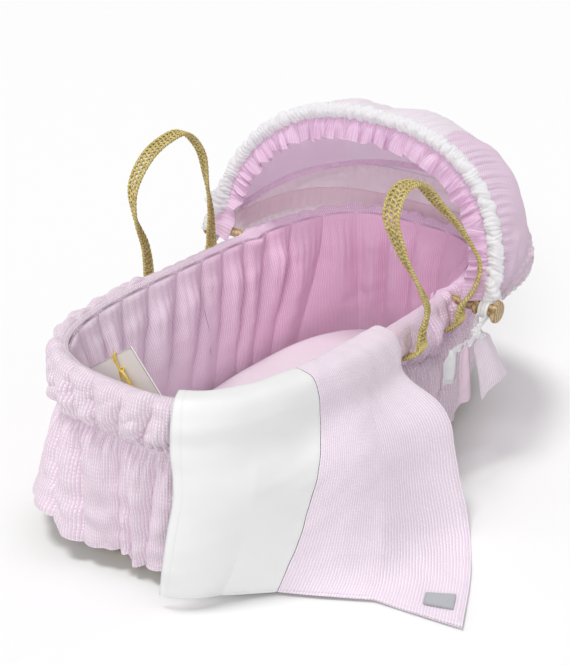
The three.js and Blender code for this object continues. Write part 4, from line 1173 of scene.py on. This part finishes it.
def plait(b, path, across, width):
    """Four wrapped cords side by side, laced across with leaf strips that leave rows of open holes."""
    t = unit(np.gradient(path, axis=0))
    side = unit(across - t * (across * t).sum(-1, keepdims=True))
    face = np.cross(t, side)
    far = lengths(path)
    fine = np.linspace(0, far[-1], max(12, round(far[-1] / 0.0011)))

    def at(s, lane, lift):
        s = np.clip(s, 0, far[-1])
        take = lambda a: np.stack([np.interp(s, far, a[:, k]) for k in range(3)], -1)
        w = np.interp(s, far, width) / 2 - 0.0026
        return take(path) + take(side) * (lane * w)[..., None] + take(face) * np.asarray(lift)[..., None]

    for lane, r, seed in ((-1, 0.0026, 1), (-0.34, 0.0019, 2), (0.34, 0.0019, 3), (1, 0.0026, 4)):
        wiggle = 0.00035 * np.sin(TAU * fine / PLAIT_PITCH + seed * 1.3)
        centre = at(fine, np.full_like(fine, lane), wiggle)

        def wrap(s, angle, r=r, seed=seed):
            lay = np.abs(np.sin(math.pi * s / (PLAIT_PITCH * 0.62) + angle * 0.9 + seed))
            return r * (0.80 + 0.28 * lay**0.7)

        take = np.stack([np.interp(fine, far, face[:, k]) for k in range(3)], -1)
        # Painted shade: the cords are darker in the crevices between their wraps.
        b.tube(centre, wrap, 12, spin=take, tone="creases")
    lanes = (-1, -0.34, 0.34, 1)
    rng = np.random.default_rng(7)
    for k in range(3):
        low, high = lanes[k], lanes[k + 1]
        first = PLAIT_PITCH * (0.3 if k % 2 else 0.6)
        for start in np.arange(first, far[-1] - PLAIT_PITCH * 0.2, PLAIT_PITCH):
            start = start + rng.uniform(-0.0006, 0.0006)
            for way in (1, -1):
                x = np.linspace(-0.35, 1.35, 9)
                run = (x - 0.5) * PLAIT_PITCH * 0.62 * way * (1 if k % 2 else -1)
                lift = way * (0.0026 * np.cos((x - 0.5) * 2.3) ** 2 + 0.0002)
                leaf = at(start + run, low + (high - low) * x, lift)
                wide = 0.00165 * (0.75 + 0.35 * np.cos((x - 0.5) * 2.0)) * rng.uniform(0.9, 1.15)
                place = np.clip(start + run, 0, far[-1])
                spin = np.stack([np.interp(place, far, t[:, j]) for j in range(3)], -1)
                b.tube(leaf, wide, 7, spin=spin, squash=0.45, tone=rng.uniform(0.62, 1.0))


def strap_path(side, feet, arch):
    start = HANDLE_Z + 0.0044
    ends = [[(x, side * HANDLE_Y, z) for z in (start, start + 0.014)] for x in feet]
    over = [
        (x / 1000, side * (HANDLE_Y + out / 1000), HANDLE_Z + up / 1000) for x, out, up in arch
    ]
    return evenly(through(np.array([*ends[0], *over, *ends[1][::-1]]), np.linspace(0, 1, 2001)), 500)


NEAR_ARCH = [
    (11, 5, 62), (-5, 0, 100), (-41, -15, 173), (-44, -31, 224), (-13, -39, 248),
    (28, -40, 249), (92, -31, 195), (136, -6, 134), (150, 15, 85), (139, 12, 46),
]
FAR_ARCH = [
    (-62, 1, 53), (-82, 4, 122), (-80, 7, 159), (-39, 11, 205), (8, 12, 222),
    (52, 12, 223), (92, 9, 182), (102, 5, 122), (108, 2, 52),
]


def handles():
    for label, side, feet, arch in (("near", -1, NEAR_FEET, NEAR_ARCH), ("far", 1, FAR_FEET, FAR_ARCH)):
        path = strap_path(side, feet, arch)
        share = np.linspace(0, 1, len(path))
        turn = math.pi / 2 * np.sin(math.pi * share) ** 1.2
        across = np.stack([np.cos(turn), np.sin(turn), np.zeros_like(turn)], -1)
        width = 0.024 + 0.006 * np.minimum(1, np.minimum(6 * share, 6 * (1 - share)))
        b = Pieces()
        plait(b, path, across, width)
        name = f"handle_{label}_strap"
        settle(b.make(name + "_look", [STRAW]), name, "palm_straw")
        for x, end in zip(feet, ("foot", "head")):
            down = HANDLE_Z - 0.0044
            wall = lambda rise: abs(beside_at(x, side, WALL_HALF + 0.0035, FLOOR, rise)[1])
            route = [
                (HANDLE_Y, down),
                (HANDLE_Y - 0.003, down - 0.007),
                (HANDLE_Y - 0.013, down - 0.016),
                (HANDLE_Y - 0.028, down - 0.024),
                (wall(down - 0.036) + 0.001, down - 0.036),
                (wall(down - 0.046), down - 0.046),
            ]
            line = evenly(through(np.array([(x, side * y, z) for y, z in route]), np.linspace(0, 1, 400)), 90)
            b = Pieces()
            flat = np.broadcast_to(np.array([1.0, 0, 0]), line.shape)
            plait(b, line, flat, np.full(len(line), 0.024))
            name = f"handle_{label}_{end}_tab"
            settle(b.make(name + "_look", [STRAW]), name, "palm_straw")
            b = Pieces()
            coils = 10
            turn = np.linspace(0, TAU * coils, coils * 22)
            helix = together(
                x - 0.0105 + 0.021 * turn / turn[-1],
                side * HANDLE_Y + 0.0030 * np.cos(turn),
                HANDLE_Z + 0.0030 * np.sin(turn),
            )
            b.tube(helix, 0.0011, 8)
            for k in range(6):
                along = x - 0.0100 + 0.004 * k
                a = np.linspace(0, TAU, 29)
                ring = together(
                    along + 0.001 * np.sin(a),
                    side * HANDLE_Y + 0.0037 * np.cos(a),
                    HANDLE_Z + 0.0072 * np.sin(a),
                )
                b.tube(ring, 0.0012, 7, caps=False)
            name = f"handle_{label}_{end}_lashing"
            settle(b.make(name + "_look", [STRAW]), name, "raffia")


# ---- Coverlet ----

# Lines down the hanging coverlet: share of its width, place along the rim as a share of RIM_L, and points
# below the rim as x and y in millimetres from where the line crosses it and height as a share of RIM_H.
GUIDES = [
    (0.0, -0.962, [(-38, -23, 0.65), (-48, -18, 0.45), (-53, -13, 0.29), (-55, -8, 0.17), (-57, -4, 0.075)]),
    (0.19, -0.784, [(-44, -47, 0.65), (-51, -37, 0.46), (-58, -25, 0.29), (-63, -13, 0.15), (-68, 0, 0.031)]),
    (
        0.375,
        -0.545,
        [(-43, -58, 0.65), (-63, -54, 0.45), (-79, -48, 0.27), (-94, -40, 0.14), (-108, -32, 0.017)],
    ),
    (
        0.7,
        -0.306,
        [(-36, -81, 0.62), (-59, -103, 0.38), (-81, -121, 0.17), (-106, -134, 0.041), (-136, -145, 0.012)],
    ),
    (
        1.0,
        -0.069,
        [(20, -100, 0.62), (16, -130, 0.31), (-8, -171, 0.031), (-92, -222, 0.012), (-210, -275, 0.012)],
    ),
]
SEAM_SHARE = 0.375
COVER_WIDTH, COVER_LENGTH = 0.44, 0.70


def cover_line(share):
    shares = [g[0] for g in GUIDES]
    k = max(next(i for i, v in enumerate(shares) if v >= share - 1e-9), 1)
    one, other = GUIDES[k - 1], GUIDES[k]
    local = (share - one[0]) / (other[0] - one[0])
    x = (one[1] + (other[1] - one[1]) * local) * RIM_L
    fall = np.array(one[2]) * (1 - local) + np.array(other[2]) * local
    away = 0.0066
    at = lambda outset, anchor, rise: beside_at(x, -1, outset, anchor, rise)
    crossing = at(0, RIM, 0)
    points = [
        at(-0.010 - away, FLOOR, 0.125),
        at(-0.013 - away, RIM, -0.090),
        at(-0.019 - away, RIM, -0.013),
        at(-0.015, RIM, 0.004),
        at(0, RIM, 0.005),
        at(0.014, RIM, 0.002),
        at(0.029, RIM, -0.021),
        at(0.029 + away, RIM, -0.050),
    ]
    points += [
        np.array([crossing[0] + f[0] / 1000, crossing[1] + f[1] / 1000, f[2] * RIM_H]) for f in fall
    ]
    return np.array(points)


def cover_grid(shares, rows, sections=None):
    columns = []
    for share in shares:
        points = cover_line(share)
        if sections is None:
            t = rows
        else:
            knots = lengths(points)
            t = np.interp(sections, np.arange(len(points)), knots / knots[-1])
        columns.append(through(points, t))
    return np.stack(columns)


def cover_shape(shares, rows):
    p = cover_grid(shares, rows)
    share, t = shares[:, None], rows[None, :]
    n = grid_normals(p)
    if n[len(shares) // 2, len(rows) * 2 // 3, 1] > 0:
        n = -n
    hang = smooth(0.32, 0.62, t) * (1 - smooth(0.90, 1.0, t) * 0.6)
    slow = 0.0050 * np.sin(TAU * (share * 1.7 + 0.10) + 1.4 * t) * hang
    slow = slow + 0.0030 * ripple(share * 0.44, t * 0.35, 0.20, 121) * hang
    small = 0.0005 * ripple(share * 0.44, t * 0.75, 0.06, 122)
    return p, n, slow + small


def coverlet():
    rows = np.linspace(0, 1, 230)
    for node, low, high, count, material, slot, flat_width in (
        ("coverlet_white_band", 0.0, SEAM_SHARE - 0.0006, 90, SATIN, "white_cotton", 0.165),
        ("coverlet_pink_panel", SEAM_SHARE + 0.0006, 1.0, 140, COVER_PINK, "pink_seersucker", 0.275),
    ):
        shares = np.linspace(low, high, count)
        everything = np.linspace(0, 1, 240)
        p_all, n_all, d_all = cover_shape(everything, rows)
        take = lambda a: np.stack(
            [
                np.stack([np.interp(shares, everything, a[:, r, k]) for k in range(a.shape[2])], -1)
                for r in range(a.shape[1])
            ],
            1,
        )
        p, n, d = take(p_all), unit(take(n_all)), take(d_all[..., None])[..., 0]
        across = shares * COVER_WIDTH
        down = row_lengths(p)
        side = (across if low == 0 else COVER_WIDTH - across)[:, None]
        ends = np.minimum(down, down[-1] - down)[None, :]
        near = np.minimum(side, ends)
        seam_gap = np.abs(shares - SEAM_SHARE)[:, None] * COVER_WIDTH
        puffy = 0.0008 + 0.0012 * smooth(0.0, 0.006, near)
        puffy = puffy - 0.0005 * np.exp(-(((near - 0.0065) / 0.0016) ** 2))
        puffy = puffy - 0.0008 * np.exp(-((seam_gap / 0.0020) ** 2))
        outer = p + n * (d + 0.0012 + puffy)[..., None]
        inner = p + n * (d + 0.0006 - 0.3 * puffy)[..., None]
        inner[..., 2] = np.maximum(inner[..., 2], 0.0006)
        outer[..., 2] = np.maximum(outer[..., 2], inner[..., 2] + 0.0008)
        uv = together(across[:, None], down[None, :])
        run = np.where(side < ends, down[None, :], across[:, None])
        edge = together(near, run)
        b = Pieces()
        b.shell(outer, inner, uv, edge)
        o = settle(b.make(node + "_look", [material]), node, slot)


def coverlet_label():
    shares = np.linspace(0.86, 0.96, 24)
    sections = np.linspace(0.955, 0.98, 12) * 12
    p = cover_grid(shares, None, sections)
    n = grid_normals(p)
    if n[..., 2].mean() < 0:
        n = -n
    b = Pieces()
    uv = together(shares[:, None] * COVER_WIDTH, np.linspace(0, 0.02, 12)[None, :])
    side = np.minimum(np.arange(24), np.arange(24)[::-1])[:, None] * 0.0021
    end = np.minimum(np.arange(12), np.arange(12)[::-1])[None, :] * 0.0018
    edge = np.stack([np.minimum(side, end) + 0.0045, uv[..., 0]], -1)
    b.shell(p + n * 0.0052, p + n * 0.0040, uv, edge)
    settle(b.make("coverlet_blank_label_look", [LABEL]), "coverlet_blank_label", "blank_label")


# ---- Card ----


def card():
    tilt, lean = math.radians(-36), math.radians(-5)
    turn_x = np.array([[1, 0, 0], [0, math.cos(tilt), -math.sin(tilt)], [0, math.sin(tilt), math.cos(tilt)]])
    turn_y = np.array([[math.cos(lean), 0, math.sin(lean)], [0, 1, 0], [-math.sin(lean), 0, math.cos(lean)]])
    origin = np.array([-MAT_L + 0.048, 0.021, MAT_TOP + 0.008])
    to_room = lambda p: np.asarray(p) @ (turn_y @ turn_x).T + origin
    y, z = np.linspace(0, -CARD_WIDTH, 40), np.linspace(0, CARD_LENGTH, 60)
    gy, gz = np.meshgrid(y, z, indexing="ij")
    bend = 0.0012 * np.sin(math.pi * -gy / CARD_WIDTH) * np.sin(math.pi * gz / CARD_LENGTH)
    bend = bend + 0.0006 * gz / CARD_LENGTH
    front = np.stack([-0.0011 + bend, gy, gz], -1)
    back = np.stack([0.0009 + bend, gy, gz], -1)
    uv = np.stack([gy, gz], -1)
    b = Pieces()
    b.shell(to_room(back), to_room(front), uv)
    settle(b.make("keepsake_card_look", [CARD]), "keepsake_card", "card")

    # Raffia: strands round the card, a knot and two long narrow loops on the outer face.
    b = Pieces()
    rng = np.random.default_rng(131)
    across = -CARD_WIDTH * 0.67
    for k in range(3):
        off = across + (k - 1) * 0.0016
        ring = [
            (-0.0032, off, -0.0010), (-0.0034, off + 0.001, 0.06), (-0.0034, off, 0.13),
            (-0.0032, off, 0.203), (-0.0010, off, 0.2072), (0.0016, off, 0.2068), (0.0030, off, 0.200),
            (0.0030, off, 0.10), (0.0028, off, 0.004), (0.0012, off, -0.0026), (-0.0016, off, -0.0026),
            (-0.0032, off, -0.0010),
        ]
        b.tube(to_room(evenly(through(np.array(ring), np.linspace(0, 1, 600)), 220)), 0.0007, 7, caps=False)
    knot = np.array([-0.0052, across, 0.182])
    for k in range(4):
        a = np.linspace(0, TAU, 30)
        loop = knot + np.stack(
            [0.0016 * np.cos(a + k), 0.0040 * np.sin(a), (k - 1.5) * 0.0014 + 0.0012 * np.cos(a)], -1
        )
        b.tube(to_room(loop), 0.0009, 7, caps=False)
    for k in range(7):
        wide = rng.uniform(0.004, 0.011)
        long = rng.uniform(0.062, 0.088)
        skew = rng.uniform(-0.006, 0.006) + 0.010
        a = np.linspace(0, TAU, 80)
        bulge = -0.0022 - 0.0035 * np.sin(a / 2) ** 2 - 0.0006 * k
        loop = knot + np.stack(
            [bulge + 0.0012, wide * np.sin(a) + skew * (1 - np.cos(a)) / 2, -long * (1 - np.cos(a)) / 2], -1
        )
        b.tube(to_room(loop), 0.0006, 6, caps=False)
    for k in range(3):
        tip = knot + np.array([-0.002, 0.010 * (k - 1) - 0.003, 0.034 - 0.006 * k])
        tail = through(np.array([knot, knot + [-0.003, 0.002 * (k - 1), 0.016], tip]), np.linspace(0, 1, 24))
        b.tube(to_room(tail), 0.0006, 6)
    settle(b.make("keepsake_card_raffia_tie_look", [RAFFIA]), "keepsake_card_raffia_tie", "raffia")


# ---- Bows ----

# Each tail in millimetres from the peg's flange: its two sides at the top and at the hem, how far out and how
# far down its top and hem are, and the hem's slant. Then its seed, and its flat size in metres.
TAILS = (
    ("pink", (-38, 10), (-46, 40), (17, 45), (34, 127), 9.0, 141, (0.060, 0.100)),
    ("mauve", (-60, -36), (-92, -50), (11, 29), (36, 139), -8.0, 142, (0.040, 0.112)),
    ("white", (-106, -62), (-118, -78), (7, 13), (42, 99), -10.0, 143, (0.035, 0.062)),
)
TAIL_CLOTH = {
    "pink": (TAIL_PINK, "pink_seersucker"),
    "mauve": (TAIL_MAUVE, "deep_pink_seersucker"),
    "white": (WHITE, "white_cotton"),
}


def ribbon(b, line, across, half, seed):
    """A rucked ribbon along a line, with its half width given at each point."""
    t = unit(np.gradient(line, axis=0))
    side = unit(across - t * (across * t).sum(-1, keepdims=True))
    face = np.cross(t, side)
    w = np.linspace(-1, 1, 23)
    far = lengths(line)
    crumple = 0.0012 * ripple(far[:, None], w[None, :] * 0.012, 0.012, seed)
    cup = 0.0010 * np.cos(w * 2.2)[None, :]
    p = (
        line[:, None]
        + side[:, None] * (half[:, None] * w[None, :])[..., None]
        + face[:, None] * (crumple + cup)[..., None]
    )
    n = grid_normals(p)
    uv = together(w[None, :] * 0.012, far[:, None])
    b.shell(p + n * 0.0006, p - n * 0.0006, uv)


def bows():
    for label, side in (("near", -1), ("far", 1)):
        place = lambda along, out, down: together(
            PIVOT_X + np.asarray(along) / 1000,
            side * (PEG_FLANGE + np.asarray(out) / 1000),
            PIVOT_Z - np.asarray(down) / 1000,
        )
        for end, top, hem, out, down, slant, seed, flat in TAILS:
            t = np.linspace(0, 1, 60)[:, None]
            w = np.linspace(0, 1, 44)[None, :]
            left = top[0] + (hem[0] - top[0]) * t**0.8
            right = top[1] + (hem[1] - top[1]) * t**1.2
            along = left + (right - left) * w
            sag = 4.0 * np.sin(math.pi * t) * np.sin(math.pi * w)
            height = down[0] + (down[1] - down[0]) * t + slant * (1 - w) * t**2
            folds = 3.2 * np.cos(TAU * (1.3 * w + 0.2)) * (1 - 0.65 * t) + 1.6 * np.sin(TAU * w * 1.1 + 2 * t)
            away = out[0] + (out[1] - out[0]) * t + folds + sag
            pinch = smooth(0.0, 0.22, t)
            middle = (left + right) / 2
            along = middle + (along - middle) * (0.35 + 0.65 * pinch)
            p = place(along, away, height)
            p = p + ripple(t * 0.1, w * 0.04, 0.03, seed)[..., None] * 0.0007
            n = grid_normals(p)
            uv = together(w * 0.046, t * 0.1)
            far = np.minimum(np.minimum(w, 1 - w) * 0.045, (1 - t) * 0.1)
            edge = together(far, t * 0.1 + w * 0.04)
            b = Pieces()
            b.shell(p + n * 0.0006, p - n * 0.0006, uv, edge)
            name = f"bow_{label}_tail_{end}"
            material, slot = TAIL_CLOTH[end]
            o = settle(b.make(name + "_look", [material]), name, slot)

        # The knot with its ribbon: up round the peg, over the knot and along to the white tail.
        b = Pieces()
        a, e = np.linspace(0, TAU, 57), np.linspace(-math.pi / 2, math.pi / 2, 33)
        ga, ge = np.meshgrid(a, e, indexing="ij")
        wrinkle = 1 + 0.10 * np.sin(5 * ga + 2.5 * ge) * np.cos(ge) + 0.06 * np.sin(9 * ge + ga)
        size = np.array([9.0, 7.5, 10.5])
        ball = np.stack([np.cos(ga) * np.cos(ge), np.sin(ga) * np.cos(ge), np.sin(ge)], -1)
        ball = ball * size * wrinkle[..., None]
        p = place(ball[..., 0] - 28, ball[..., 1] + 18, 30.5 - ball[..., 2])
        b.grid(p, np.stack([ga, ge], -1) * 0.008, flip=side > 0)
        lines = [
            ([(-27, 19, 24), (-17, 22, 17), (-6, 22, 13), (6, 19, 13), (14, 12, 12)], 6.5),
            ([(-27, 17, 26), (-20, 11, 16), (-10, 10, 9), (2, 10, 12), (9, 13, 18)], 5.0),
            ([(-30, 19, 34), (-42, 17, 41), (-56, 13, 44), (-70, 10, 45), (-82, 9, 47)], 6.0),
            ([(-24, 20, 34), (-18, 24, 40), (-10, 25, 43)], 5.0),
        ]
        for k, (points, half) in enumerate(lines):
            pts = np.array([place(*q) for q in points])
            line = evenly(through(pts, np.linspace(0, 1, 300)), 60)
            share = np.linspace(0, 1, 60)
            across = np.broadcast_to(np.array([0.25, 0.0, 1.0]), line.shape)
            ribbon(b, line, across, half / 1000 * (0.55 + 0.45 * smooth(0, 0.4, share)), 150 + k)
        name = f"bow_{label}_knot"
        settle(b.make(name + "_look", [WHITE]), name, "white_cotton")


# ---- Room, light and camera ----


def room():
    bpy.ops.mesh.primitive_plane_add(size=60, location=(0, 0, -0.0005))
    floor = bpy.context.object
    floor.name = "floor"
    s = Shade("floor", roughness=0.9)
    floor.data.materials.append(s.base((0.88, 0.88, 0.88, 1)))
    world = bpy.data.worlds.new("studio")
    bpy.context.scene.world = world
    world.use_nodes = True
    background = world.node_tree.nodes["Background"]
    background.inputs[0].default_value = (1.0, 1.0, 1.0, 1)
    background.inputs[1].default_value = 0.50
    for name, toward, power, soft in (
        ("key", (-0.20, 0.16, 0.96), 1.45, 16),
        ("front", (-0.72, -0.34, 0.60), 0.95, 26),
    ):
        lamp = bpy.data.lights.new(name, "SUN")
        lamp.energy, lamp.angle = power, math.radians(soft)
        o = bpy.data.objects.new(name, lamp)
        o.rotation_euler = Vector(toward).to_track_quat("Z", "Y").to_euler()
        bpy.context.scene.collection.objects.link(o)
    bpy.context.scene.view_settings.view_transform = "Standard"
    lens = bpy.data.cameras.new("camera")
    lens.sensor_width, lens.lens = 36, 70.16
    camera = bpy.data.objects.new("camera", lens)
    target = Vector((0.0175, 0.0188, 0.2023))
    azimuth, elevation, distance = math.radians(-53.325), math.radians(27.79), 2.1405
    back = Vector(
        (
            math.sin(azimuth) * math.cos(elevation),
            -math.cos(azimuth) * math.cos(elevation),
            math.sin(elevation),
        )
    )
    camera.location = target + back * distance
    camera.rotation_euler = (-back).to_track_quat("-Z", "Y").to_euler()
    bpy.context.scene.collection.objects.link(camera)
    bpy.context.scene.camera = camera


woven_wall()
liner_inside()
liner_cuff()
liner_elastic()
liner_skirt()
bedding()
pegs()
hood_hoops()
hood_binding()
hood_frill()
hood_channel()
hood_canopies()
handles()
coverlet()
coverlet_label()
card()
bows()
room()
